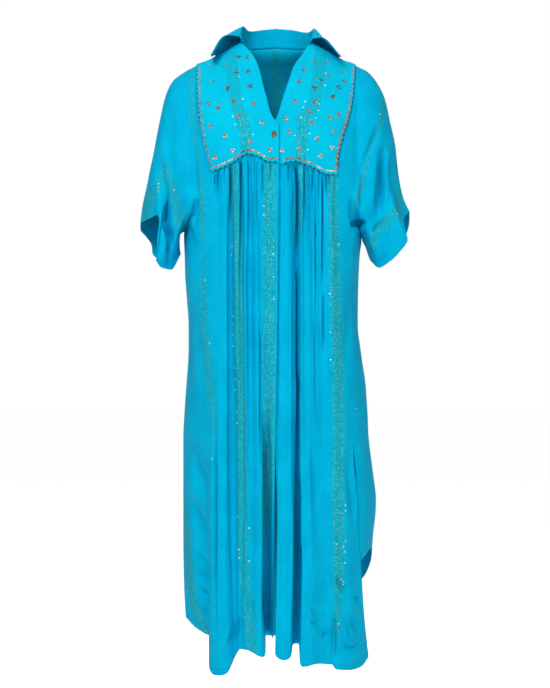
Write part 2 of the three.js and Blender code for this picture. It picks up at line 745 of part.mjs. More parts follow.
// The collar: stations around the neck, and in each the neck seam, the roll, the leaf and its edge.
function collarSheet() {
  const sheet = new Sheet(new THREE.Vector3(0, 0, -1));
  const first = COLLAR[0].around;
  const end = COLLAR[COLLAR.length - 1].around;
  const steps = Math.round((end - first) / COLLAR_STEP);
  for (let step = 0; step <= steps; step += 1) {
    const around = mix(first, end, step / steps);
    const size = (column) => read(COLLAR, 'around', around, column);
    const turn = THREE.MathUtils.degToRad(around);
    const out = new THREE.Vector3(Math.sin(turn), Math.cos(turn), 0);
    const half = around < 0 ? LEFT : RIGHT;
    const base = new THREE.Vector3(COLLAR_BASE.across * out.x, COLLAR_BASE.deep * out.y, 0);
    if (Math.abs(around) > 90) {
      base.z = read(half.neckEdge, 'x', base.x, 'z');
      base.y = -depthAt(base.x, base.z, 'front');
    } else {
      base.z = read(BACK_NECK, 'out', Math.abs(base.x), 'z');
    }
    base.z += mix(COLLAR_BASE.overBack, COLLAR_BASE.overBib, smooth(55, 80, Math.abs(around)));
    const roll = base.clone().addScaledVector(out, size('lean'));
    roll.z += size('rise');
    const mid = roll.clone().addScaledVector(out, size('midOut'));
    mid.z += size('midUp');
    const edge = roll.clone().addScaledVector(out, size('edgeOut'));
    edge.z += size('edgeUp');
    edge.y -= size('forward');
    const profile = [base, roll, mid, edge].map((p, i) => ({ at: i, x: p.x, y: p.y, z: p.z }));
    COLLAR_SHARES.forEach((share, column) => {
      const axis = (name) => read(profile, 'at', share, name);
      sheet.add(step, column, new THREE.Vector3(axis('x'), axis('y'), axis('z')));
    });
  }
  sheet.join(steps, COLLAR_SHARES.length - 1);
  return sheet;
}

// The button: a low oval dome on the left half of the bib.
function buttonMesh() {
  const profile = [[0, 0], [0.5, 0], [0.5, 0.4], [0.42, 0.85], [0.2, 1], [0, 1]];
  const points = profile.map(([out, up]) => new THREE.Vector2(out, up));
  const geometry = new THREE.LatheGeometry(points, 20);
  geometry.scale(BUTTON.width, BUTTON.depth, BUTTON.height);
  const material = new THREE.MeshStandardMaterial({ color: BUTTON.colour, roughness: 0.35, metalness: 0.2 });
  const mesh = new THREE.Mesh(geometry, material);
  mesh.name = 'button';
  const above = depthAt(BUTTON.across, BUTTON.up + BUTTON.height / 2, 'front');
  const below = depthAt(BUTTON.across, BUTTON.up - BUTTON.height / 2, 'front');
  mesh.rotation.x = Math.PI - Math.atan2(below - above, BUTTON.height);
  const seat = -depthAt(BUTTON.across, BUTTON.up, 'front') - WALL - LAP_GAP;
  mesh.position.set(BUTTON.across, seat - BUTTON.seat, BUTTON.up);
  return mesh;
}

function clothMesh(name, geometry) {
  const material = new THREE.MeshStandardMaterial({
    color: CLOTH.colour,
    roughness: CLOTH.roughness,
    metalness: CLOTH.metalness,
  });
  const mesh = new THREE.Mesh(geometry, material);
  mesh.name = name;
  return mesh;
}

const group = new THREE.Group();
group.add(clothMesh('front_left', thicken(frontSheet(LEFT))));
group.add(clothMesh('front_right', thicken(frontSheet(RIGHT))));
group.add(clothMesh('back', thicken(backSheet())));
group.add(clothMesh('bib_left', thicken(bibSheet(LEFT), WALL + LAP_GAP)));
group.add(clothMesh('bib_right', thicken(bibSheet(RIGHT), WALL + LAP_GAP)));
group.add(clothMesh('collar', thicken(collarSheet())));
group.add(buttonMesh());

export default group;
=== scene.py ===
"""Looks of a worn kaftan: crepe panels with woven lurex bands, a sequinned bib, a collar and a button.

Blender works in metres, +Z up, and the front faces -Y. The tables are in millimetres, and left and
right are the viewer's.
"""

import logging
import math
from dataclasses import dataclass, field, replace
from enum import Enum
from typing import Any

import bmesh
import bpy
import numpy as np
from mathutils import Matrix, Vector


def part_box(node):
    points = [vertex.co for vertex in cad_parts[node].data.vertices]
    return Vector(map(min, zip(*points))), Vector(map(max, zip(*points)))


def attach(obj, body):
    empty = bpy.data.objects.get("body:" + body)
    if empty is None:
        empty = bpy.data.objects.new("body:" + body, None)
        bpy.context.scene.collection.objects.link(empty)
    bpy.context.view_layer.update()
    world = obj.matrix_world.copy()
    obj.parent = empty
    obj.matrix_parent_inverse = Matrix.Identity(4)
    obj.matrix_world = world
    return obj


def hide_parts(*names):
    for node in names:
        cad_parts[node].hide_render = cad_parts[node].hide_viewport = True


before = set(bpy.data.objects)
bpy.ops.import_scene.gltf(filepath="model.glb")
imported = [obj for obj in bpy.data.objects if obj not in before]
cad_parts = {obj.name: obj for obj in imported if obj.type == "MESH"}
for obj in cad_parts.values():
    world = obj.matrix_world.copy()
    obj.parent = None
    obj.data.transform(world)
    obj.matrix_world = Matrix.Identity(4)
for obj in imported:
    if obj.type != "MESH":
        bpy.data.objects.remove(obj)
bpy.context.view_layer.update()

LOG = logging.getLogger("kaftan")
Array = np.ndarray
MM = 0.001

WALL = 1.6
LAP = 6.0
LAP_GAP = 0.8
SEAM_GAP = 0.4
CLOTH = 0.8
CENTRE_UNDER = 2 * (WALL + LAP_GAP)
ROUNDNESS = 2.3
SLEEVE_ROUNDNESS = 2.2
SHOULDER_ROLL = 110.0
SLIT_TOP = -790.0
HEM_FROM = -1090.0
FOLD_SEAM = -240.0
FOLD_MID = -600.0
FOLD_KNEE = -880.0
UPPER_ROWS = [0, 0.02, 0.07, 0.16, 0.3, 0.5, 0.75]
LOWER_ROWS = [-410, -455, -505, -560, -620, -680, -735, -790, -850, -910, -970, -1030, -1090]
HEM_ROWS = [0.4, 0.75, 1]
SLEEVE_STEPS = [0.08, 0.17, 0.28, 0.42, 0.58, 0.75, 0.9, 1]
BIB_FADE = [0.35, 0.5, 0.9, 1]
ROW_BIB = len(UPPER_ROWS)
ROW_ARM = ROW_BIB + 4
LAST_ROW = ROW_ARM + len(LOWER_ROWS) + len(HEM_ROWS)
BACK_COLUMNS = 26
NECK_OUT = 74.0
NECK_DEEP = 57.0
NECK_SEAM_TO = 73.0
BACK_HALF_TOP = 164.0
BACK_FOLD_GROWTH = 500.0
BELOW_BIB = 22.0
SIDE_EASE = 200.0
ARM_DEEP = 58.0
ARM_DEEP_CUFF = 64.0
COLLAR_END = 118.0
COLLAR_LIFT = 0.9
FAR = 500.0
ROW_CELL = 5.8
GATHER_CELL = 1.1
SIDE_CELL = 3.2
BACK_CELL = 3.6
SLEEVE_FROM = 160.0
SEAM_HOLD = 12.0
# The camera's place, and the middle and the scale of the photo seen from it.
VIEW_X = -2.0
VIEW_Z = -594.0
VIEW_FAR = 4000.0
PHOTO_MIDDLE_X = 275.0
PHOTO_MIDDLE_Y = 344.0
PIXEL_MM = 2.05


class Face(Enum):
    """The side of the body that a piece lies on, with the sign of its outward Y."""

    FRONT = -1.0
    BACK = 1.0


class Curve:
    """A smooth curve through given places, level past its ends and without overshoot."""

    def __init__(self, keys: Any, values: Any) -> None:
        """Sorts the places and works out the slope at each.

        Args:
            keys: where the places lie.
            values: the value at each.
        """
        order = np.argsort(keys, kind="stable")
        self.keys = np.asarray(keys, float)[order]
        self.values = np.asarray(values, float)[order]
        chords = np.diff(self.values) / np.diff(self.keys)
        agree = chords[:-1] * chords[1:] > 0
        inner = np.where(agree, (chords[:-1] + chords[1:]) / 2, 0.0)
        self.slopes = np.concatenate([chords[:1], inner, chords[-1:]])

    def __call__(self, at: Any) -> Any:
        """Reads the curve.

        Args:
            at: one place or an array of them.

        Returns:
            The values there.
        """
        at = np.clip(at, self.keys[0], self.keys[-1])
        i = np.clip(np.searchsorted(self.keys, at) - 1, 0, len(self.keys) - 2)
        span = self.keys[i + 1] - self.keys[i]
        t = (at - self.keys[i]) / span
        straight = mix(self.values[i], self.values[i + 1], t * t * (3 - 2 * t))
        rise = (t - 2 * t**2 + t**3) * span * self.slopes[i]
        fall = (t**3 - t**2) * span * self.slopes[i + 1]
        return straight + rise + fall


class Table:
    """Rows of sizes with named columns."""

    def __init__(self, names: str, rows: list) -> None:
        """Keeps each column under its name."""
        self.columns = dict(zip(names.split(), np.array(rows, float).T))

    def __getitem__(self, name: str) -> Array:
        """Returns one column."""
        return self.columns[name]

    def curve(self, key: str, value: str) -> Curve:
        """Returns the curve of one column over another."""
        return Curve(self.columns[key], self.columns[value])


def mix(a: Any, b: Any, share: Any) -> Any:
    """Returns the value at a share of the way from a to b."""
    return a + (b - a) * share


def smooth(start: float, end: float, value: Any) -> Any:
    """Returns 0 before start, 1 past end and a soft step between them."""
    share = np.clip((value - start) / (end - start), 0, 1)
    return share * share * (3 - 2 * share)


BODY_SIZES = Table("z left right front back", [
    [60, 205, 205, 56, 64],
    [0, 205, 205, 66, 78],
    [-40, 205, 205, 80, 92],
    [-100, 205, 204, 98, 106],
    [-160, 205, 202, 112, 114],
    [-230, 205, 200, 122, 117],
    [-315, 201, 193, 122, 114],
    [-370, 190, 177, 121, 111],
    [-463, 185.7, 169, 121, 110],
    [-566, 179, 168, 124, 114],
    [-620, 179.5, 176, 126, 120],
    [-690, 184.5, 185, 129, 126],
    [-790, 190, 190.6, 132, 130],
    [-850, 190, 198, 134, 131],
    [-920, 190, 205, 136, 132],
    [-990, 190, 199, 137, 132],
    [-1060, 189, 196, 138, 132],
    [-1160, 186, 197, 140, 132],
    [-1260, 186, 200, 141, 132],
])
RIDGE = Table("out z", [
    [0, 46], [40, 36], [74, 22], [100, 8], [120, -4], [138, -14], [158, -21], [166, -25],
]).curve("out", "z")


class Body:
    """The hollow form that the cloth hangs on, with its widths and depths at every height."""

    def __init__(self) -> None:
        """Makes a curve of each size."""
        self.left = BODY_SIZES.curve("z", "left")
        self.right = BODY_SIZES.curve("z", "right")
        self.deep = {
            Face.FRONT: BODY_SIZES.curve("z", "front"),
            Face.BACK: BODY_SIZES.curve("z", "back"),
        }

    def width(self, x: Any, z: Any) -> Any:
        """Returns the half width at a height, on the side where x lies."""
        return np.where(np.asarray(x) < 0, self.left(z), self.right(z))

    def depth(self, x: Any, z: Any, face: Face) -> Any:
        """Works out how far the cloth stands from the middle plane.

        Args:
            x: place across.
            z: height.
            face: front or back.

        Returns:
            The depth before any folds.
        """
        out = np.minimum(np.abs(x) / self.width(x, z), 1)
        section = (1 - out**ROUNDNESS) ** (1 / ROUNDNESS)
        under = np.clip((RIDGE(np.abs(x)) - z) / SHOULDER_ROLL, 0, 1)
        return self.deep[face](z) * section * np.sqrt(1 - (1 - under) ** 2)

    def section(self, turn: float, z: float, sign: float) -> Array:
        """Finds a point of the section around the body.

        Args:
            turn: degrees from the middle of the front.
            z: height.
            sign: 1 towards the right and -1 towards the left.

        Returns:
            The point.
        """
        angle = math.radians(turn)
        cosine = math.cos(angle)
        deep = self.deep[Face.FRONT if cosine > 0 else Face.BACK](z)
        x = sign * float(self.width(sign, z)) * math.sin(angle) ** (2 / ROUNDNESS)
        y = -math.copysign(1, cosine) * deep * abs(cosine) ** (2 / ROUNDNESS)
        return np.array([x, y, z])

    def tangent(self, turn: float, z: float, sign: float) -> Array:
        """Returns the unit direction on round the body towards the back."""
        step = self.section(turn + 1, z, sign) - self.section(turn - 1, z, sign)
        return step / np.linalg.norm(step)


BODY = Body()

FOLD_COLUMNS = "seam mid low outSeam outMid outLow hem"


@dataclass(frozen=True)
class Half:
    """The sizes of one half of the front, with its bib, armhole, sleeve and folds."""

    sign: float
    underarm_z: float
    corner_z: float
    bib_edge: Table
    bib_foot: Table
    neck_edge: Table
    armhole: Table
    seam: Table
    lapped: int
    knee: list
    folds: Table
    bib_column: int
    overarm: Table
    underarm: Table
    front_hem: Table
    back_hem: Table

    def side_heights(self) -> list[float]:
        """Returns the heights of the rows at the side, from the shoulder down."""
        top = float(self.armhole["z"].max())
        foot = self.corner_z + LAP
        upper = [mix(top, foot, share) for share in UPPER_ROWS]
        bib = [foot, self.corner_z - 2, self.corner_z - BELOW_BIB, -315.0]
        return [*upper, *bib, self.underarm_z, *LOWER_ROWS]


LEFT = Half(
    sign=-1,
    underarm_z=-365,
    corner_z=-251,
    bib_edge=Table("z x", [[-22, -162], [-93, -159], [-148, -153], [-202, -142], [-251, -129]]),
    bib_foot=Table("x z", [
        [-129, -251], [-106, -243], [-83, -232], [-62, -218], [-54, -217], [-44, -219],
        [-29, -225], [-19, -232], [-2, -233], [16, -235],
    ]),
    neck_edge=Table("z x", [
        [22, -74], [14, -66], [-11, -46], [-97, -20], [-146, -4], [-156, 6], [-235, 6],
    ]),
    armhole=Table("z x", [[-25, -164], [-180, -164], [-300, -163], [-340, -171], [-365, -188.6]]),
    seam=Table("z turn", [[-365, 90], [-1060, 90], [-1160, 79]]),
    lapped=0,
    knee=[[-3, -2], [-10, -4], [-18, -14], [-23, -8]],
    folds=Table(FOLD_COLUMNS, [
        [6, 2, -6, 0, 0, -46, -1184],
        [-1, -6, -12, 0, 0, -58, -1176],
        [-12, -15, -18, 0, -2, -66, -1174],
        [-21, -25, -20, -1, -6, -18, -1208],
        [-31, -31, -26, -4, -2, 2, -1213],
        [-39, -38, -36, 2, 4, 6, -1210],
        [-52, -51, -50, -9, -7, 0, -1203],
        [-62, -60, -60, 3, 2, -2, -1200],
        [-71, -67, -69, -9, -7, -9, -1200],
        [-82, -77, -75, 3, 2, -11, -1204],
        [-92, -90, -82, -10, -11, -15, -1218],
        [-99, -98, -88, 3, 4, -2, -1231],
        [-107, -108, -97, 1, 6, 10, -1246],
        [-115, -116, -113, -4, 6, 14, -1251],
        [-123, -126, -127, 0, 4, 12, -1249],
        [-133, -136, -134, 0, 2, 2, -1232],
        [-146, -147, -128, 0, 0, -20, -1186],
        [-157, -159, -144, 0, 0, -22, -1176],
        [-172, -171, -163, 0, 0, -12, -1165],
        [-190, -180, -183, 0, 0, 0, -1150],
    ]),
    bib_column=14,
    overarm=Table("x z", [
        [-164, -25], [-186, -37], [-203, -47], [-215, -61], [-225, -84], [-232, -107],
        [-238, -141], [-250, -201], [-262, -258], [-275, -318], [-278, -346],
    ]),
    underarm=Table("x z", [[-188.6, -365], [-195, -369], [-197, -381], [-197, -396], [-195, -410]]),
    front_hem=Table("share x z y", [
        [0, -278, -346, 0],
        [0.2, -256, -339, 40],
        [0.36, -238, -333, 56],
        [0.46, -234, -352, 68],
        [0.56, -237, -392, 74],
        [0.65, -241, -422, 70],
        [0.73, -232, -439, 58],
        [0.853, -213, -443, 38],
        [1, -195, -410, 0],
    ]),
    back_hem=Table("share x z y", [
        [0, -278, -346, 0],
        [0.2, -279, -360, 16],
        [0.4, -263, -378, 40],
        [0.55, -257, -393, 47],
        [0.7, -254, -410, 47],
        [0.82, -234, -424, 40],
        [0.92, -212, -425, 22],
        [1, -195, -410, 0],
    ]),
)

RIGHT = Half(
    sign=1,
    underarm_z=-377,
    corner_z=-257,
    bib_edge=Table("z x", [
        [-22, 162], [-76, 157], [-129, 149], [-173, 136], [-212, 126], [-257, 123],
    ]),
    bib_foot=Table("x z", [
        [-16, -236], [13, -237], [24, -234], [41, -232], [52, -236], [72, -243], [87, -251],
        [98, -256], [123, -257],
    ]),
    neck_edge=Table("z x", [
        [22, 74], [6, 61], [-5, 55], [-35, 36], [-65, 26], [-101, 14], [-140, 2], [-160, -9],
        [-236, -10],
    ]),
    armhole=Table("z x", [[-25, 164], [-180, 164], [-300, 158], [-345, 162], [-377, 175.3]]),
    seam=Table("z turn", [
        [-377, 90], [-463, 88], [-566, 83], [-620, 76], [-680, 68], [-735, 59], [-790, 52],
        [-850, 50.5], [-958, 52], [-1030, 58], [-1140, 63], [-1225, 69],
    ]),
    lapped=2,
    knee=[[1, -CENTRE_UNDER], [3, -2], [6, 0]],
    folds=Table(FOLD_COLUMNS, [
        [-10, -11, 4, -CENTRE_UNDER, -CENTRE_UNDER, -34, -1188],
        [7, 3, -2, -CENTRE_UNDER, -CENTRE_UNDER, -3, -1206],
        [13, 8, 4, 0, 0, 2, -1215],
        [22, 20, 16, -3, 0, 6, -1219],
        [30, 29, 29, 4, 6, 4, -1212],
        [38, 38, 35, -15, -17, -28, -1194],
        [43, 44, 44, -9, -12, -28, -1192],
        [48, 50, 48, 3, 4, 0, -1228],
        [57, 58, 60, -4, 0, 5, -1232],
        [64, 66, 72, 3, 3, 6, -1229],
        [72, 73, 82, -5, -1, 1, -1228],
        [79, 82, 92, 2, -5, -3, -1229],
        [91, 93, 102, -6, -7, -5, -1231],
        [99, 104, 112, -4, -2, -3, -1232],
        [109, 115, 118, 3, 3, 1, -1240],
        [117, 127, 133, 0, 2, 4, -1243],
        [130, 139, 149, 0, 3, 7, -1244],
        [145, 151, 163, 0, 1, 5, -1243],
        [160, 161, 176, 0, 0, 0, -1239],
        [175, 171, 188, 0, 0, 0, -1226],
    ]),
    bib_column=15,
    overarm=Table("x z", [
        [164, -25], [174, -29], [194, -42], [203, -53], [213, -70], [222, -88], [228, -115],
        [235, -143], [249, -213], [253, -259], [266, -308], [274, -323],
    ]),
    underarm=Table("x z", [[175.3, -377], [178, -385], [184, -396], [188, -410], [193, -423]]),
    front_hem=Table("share x z y", [
        [0, 274, -323, 0],
        [0.14, 260, -341, 30],
        [0.3, 260, -355, 50],
        [0.45, 267, -378, 58],
        [0.6, 253, -404, 60],
        [0.72, 233, -425, 54],
        [0.824, 210, -439, 36],
        [1, 193, -423, 0],
    ]),
    back_hem=Table("share x z y", [
        [0, 274, -323, 0],
        [0.25, 275, -343, 20],
        [0.5, 267, -374, 45],
        [0.7, 245, -405, 45],
        [0.86, 217, -425, 30],
        [1, 193, -423, 0],
    ]),
)

BACK_NECK = Table("out z", [[0, 20], [30, 17], [55, 14], [68, 17], [74, 22]]).curve("out", "z")
BACK_HEM = Table("across z", [
    [-1, -1120], [-0.85, -1172], [-0.5, -1205], [0, -1212], [0.2, -1180], [0.35, -1130],
    [0.47, -1092], [0.55, -1074], [0.63, -1050], [0.7, -1028], [0.77, -1010], [0.84, -1010],
    [0.93, -1024], [1, -1034],
]).curve("across", "z")
BACK_ROWS_FROM = -850.0
BACK_ROWS_TO = -1212.0
BACK_EDGES = {
    -1: Table("z turn sunk", [[-790, 90, 0], [-850, 94, 0], [-1000, 108, 0], [-1120, 116, 0]]),
    1: Table("z turn sunk", [[-790, 52, 0], [-850, 51.5, 5], [-910, 48, 7], [-1060, 55, 7]]),
}
BACK_FOLDS = Table("across width out start", [
    [-0.72, 0.07, -9, -420],
    [-0.5, 0.08, 7, -300],
    [-0.27, 0.06, -10, -360],
    [-0.06, 0.09, 8, -260],
    [0.16, 0.06, -9, -330],
    [0.38, 0.08, 7, -400],
    [0.58, 0.06, -9, -300],
    [0.8, 0.07, 6, -500],
])

COLLAR_STATIONS = Table("around rise lean midOut midUp edgeOut edgeUp forward", [
    [-118, 15, 14, 34, -4, 59, -42, 10],
    [-100, 28, -2, 34, -20, 60, -61, 7],
    [-72, 34, -8, 30, -16, 55, -57, 4],
    [-38, 38, -1, 17, -14, 24, -56, 0],
    [0, 40, 2, 12, -15, 14, -60, 0],
    [38, 38, -1, 17, -14, 24, -56, 0],
    [72, 29, 3, 25, -20, 50, -57, 4],
    [98, 25, 5, 23, -25, 55, -58, 7],
    [118, 12, 14, 26, -4, 57, -42, 10],
])

# The outer band of the left front is fainter than it was first read.
OUTER_SHARE = 0.8


def faded(track: list, share: float) -> list:
    """Returns the track of a woven band with its colour weakened to a share."""
    return [[x, z, half, round(strength * share, 2), glitter] for x, z, half, strength, glitter in track]


# A band's glitter is the strength of its painted glints and of the painted shade of its weave, which follow
# where the light catches it.
BAND_COLUMNS = "x z half strength glitter"
BAND_TRACKS = {
    "front_left": [
        faded([[-170, -18, 10.3, 0.5, 0.3], [-170.8, -50, 10.3, 0.6, 0.4], [-169.6, -91, 10.4, 0.6, 0.5],
         [-164.8, -152, 8.6, 0.6, 0.5], [-161, -188, 6.6, 0.6, 0.5], [-156, -224, 4.4, 0.6, 0.4],
         [-150.8, -261, 4, 0.7, 0.6], [-148.5, -300, 5.4, 0.9, 0.9], [-148, -345, 5.6, 0.8, 0.7],
         [-148, -413, 4.6, 0.6, 0.5], [-147.5, -500, 7.8, 0.8, 0.8], [-144, -558, 7.8, 0.8, 0.8],
         [-133, -657, 8.6, 0.8, 0.8], [-127, -723, 6.4, 0.7, 0.6], [-122, -790, 4, 0.4, 0.3],
         [-120, -815, 2, 0, 0]], OUTER_SHARE),
        [[-82.1, -235, 8.4, 0.9, 0.9], [-80.5, -333, 8, 0.9, 0.8], [-75.6, -430, 8.6, 0.9, 0.8],
         [-75, -530, 10.6, 1, 0.8], [-73, -600, 9.4, 1, 0.8], [-70, -690, 10.4, 1, 0.7],
         [-67, -924, 10.6, 0.9, 0.6], [-62, -1060, 10, 0.8, 0.5], [-50, -1181, 10, 0.8, 0.8],
         [-46, -1260, 9, 0.7, 0.8]],
        [[-13.5, -230, 11.6, 0.9, 1], [-13.5, -721, 11.4, 0.9, 0.8], [-16, -860, 11, 0.9, 0.6],
         [-20, -960, 10, 0.6, 0.3], [-22, -1040, 8, 0, 0]],
        [[-224, -215, 3, 0, 0], [-230, -247, 6, 0.6, 0.5], [-243, -275, 9, 0.7, 0.6],
         [-256, -298, 12, 0.8, 0.7], [-268, -325, 12, 0.7, 0.6], [-276, -350, 10, 0.4, 0.4]],
        [[-232, -190, 4, 0, 0], [-228, -222, 7, 0.5, 0.5], [-218, -258, 9, 0.7, 0.7],
         [-207, -290, 10, 0.8, 0.7], [-200, -322, 10, 0.7, 0.6], [-194, -354, 10, 0.8, 0.7],
         [-186, -384, 8, 0.4, 0.4]],
        [[-188, -880, 3, 0, 0], [-182, -960, 7, 0.7, 0.5], [-177, -1045, 8, 0.8, 0.7],
         [-171, -1082, 8.4, 0.8, 0.8], [-161, -1128, 9, 0.8, 0.9], [-150, -1154, 10, 0.8, 0.9],
         [-138, -1188, 10, 0.8, 0.8], [-131, -1204, 8, 0, 0]],
    ],
    "front_right": [
        [[50.9, -235, 3.8, 0.9, 1], [51, -312, 3.7, 0.9, 0.9], [45.4, -374, 3, 0.7, 0.6],
         [42, -412, 1.6, 0, 0]],
        [[110.8, -235, 9.8, 0.9, 1], [113.6, -330, 10, 0.9, 1], [118.5, -505, 11, 0.9, 1],
         [123.5, -640, 11.4, 0.9, 0.9], [124, -820, 11.2, 0.9, 0.9], [124, -1010, 10.6, 0.9, 1],
         [124, -1090, 9, 0.9, 0.6], [121, -1170, 6.4, 0.6, 0.3], [121, -1210, 5, 0, 0]],
        [[212, -60, 3, 0, 0], [217, -112, 7, 0.6, 0.7], [212, -140, 6, 0.7, 0.8], [197, -186, 3.6, 0.5, 0.3],
         [187, -214, 5, 0.6, 0.6], [178, -246, 5.4, 0.7, 0.8], [168, -284, 6.6, 0.7, 0.9],
         [161, -312, 6, 0.5, 0.5], [156, -340, 4, 0, 0]],
        [[176, -352, 3, 0, 0], [173, -380, 6, 0.7, 0.6], [171, -420, 5, 0.6, 0.5], [168, -470, 2.6, 0, 0]],
        [[171, -560, 2, 0, 0], [174, -640, 3, 0.5, 0.6], [171, -760, 3, 0.6, 0.6], [168, -850, 2.4, 0, 0]],
        [[258, -230, 3, 0, 0], [253, -285, 5, 0.5, 0.5], [249, -312, 9, 0.8, 0.9], [231, -340, 10, 0.8, 0.6],
         [205, -366, 10, 0.8, 0.5], [190, -398, 10, 0.8, 0.6], [184, -440, 9, 0.7, 0.5]],
    ],
    "bib_left": [[[-93, 30, 12, 0.6, 0], [-89, -38, 12.4, 0.7, 0], [-83, -90, 13, 0.7, 0],
                  [-78, -116, 13.6, 0.7, 0.1], [-67, -146, 13, 0.8, 0.9], [-60.5, -178, 11.6, 0.8, 1],
                  [-58.6, -200, 12, 0.8, 1], [-56, -250, 11, 0.8, 1]]],
    "bib_right": [[[94, 30, 13, 0.6, 0], [87, -40, 14, 0.7, 0], [81, -90, 13, 0.7, 0],
                   [74, -116, 13, 0.7, 0.1], [56, -144, 13, 0.8, 0.8], [53, -166, 12, 0.8, 1],
                   [51, -190, 11, 0.8, 1], [50, -250, 10, 0.8, 1]]],
    "back": [
        [[-146, 0, 10, 0.6, 0.5], [-146, -350, 8, 0.7, 0.7], [-138, -600, 9, 0.8, 0.7],
         [-146, -1260, 10, 0.8, 0.7]],
        [[-72, 60, 10, 0.6, 0.5], [-72, -600, 11, 0.8, 0.8], [-78, -1260, 10, 0.8, 0.8]],
        [[2, 60, 11, 0.6, 0.4], [0, -600, 11, 0.8, 0.8], [4, -1260, 10, 0.8, 0.7]],
        [[74, 60, 10, 0.6, 0.5], [72, -600, 10, 0.8, 0.8], [80, -1260, 11, 0.8, 0.8]],
        [[146, 0, 10, 0.6, 0.5], [146, -350, 8, 0.7, 0.7], [138, -600, 9, 0.8, 0.7],
         [150, -1260, 10, 0.8, 0.7]],
        [[-206, -40, 8, 0.6, 0.5], [-214, -250, 9, 0.7, 0.6], [-224, -440, 10, 0.7, 0.7]],
        [[206, -40, 8, 0.6, 0.5], [214, -250, 9, 0.7, 0.6], [224, -440, 10, 0.7, 0.7]],
    ],
    "collar": [],
}

# The widths that the narrow gathers of the front are drawn with.
GATHER = 1.4
WIDE_GATHER = 1.7


class Deeper(Enum):
    """How many times deeper a group of creases is drawn than its shading was first read."""

    AS_READ = 1.0
    DEEP_GATHER = 1.08
    SMALL_GATHER = 1.35
    LOW_LEFT = 1.9
    LOW_RIGHT = 1.7
    BACK_WAVE = 2.2


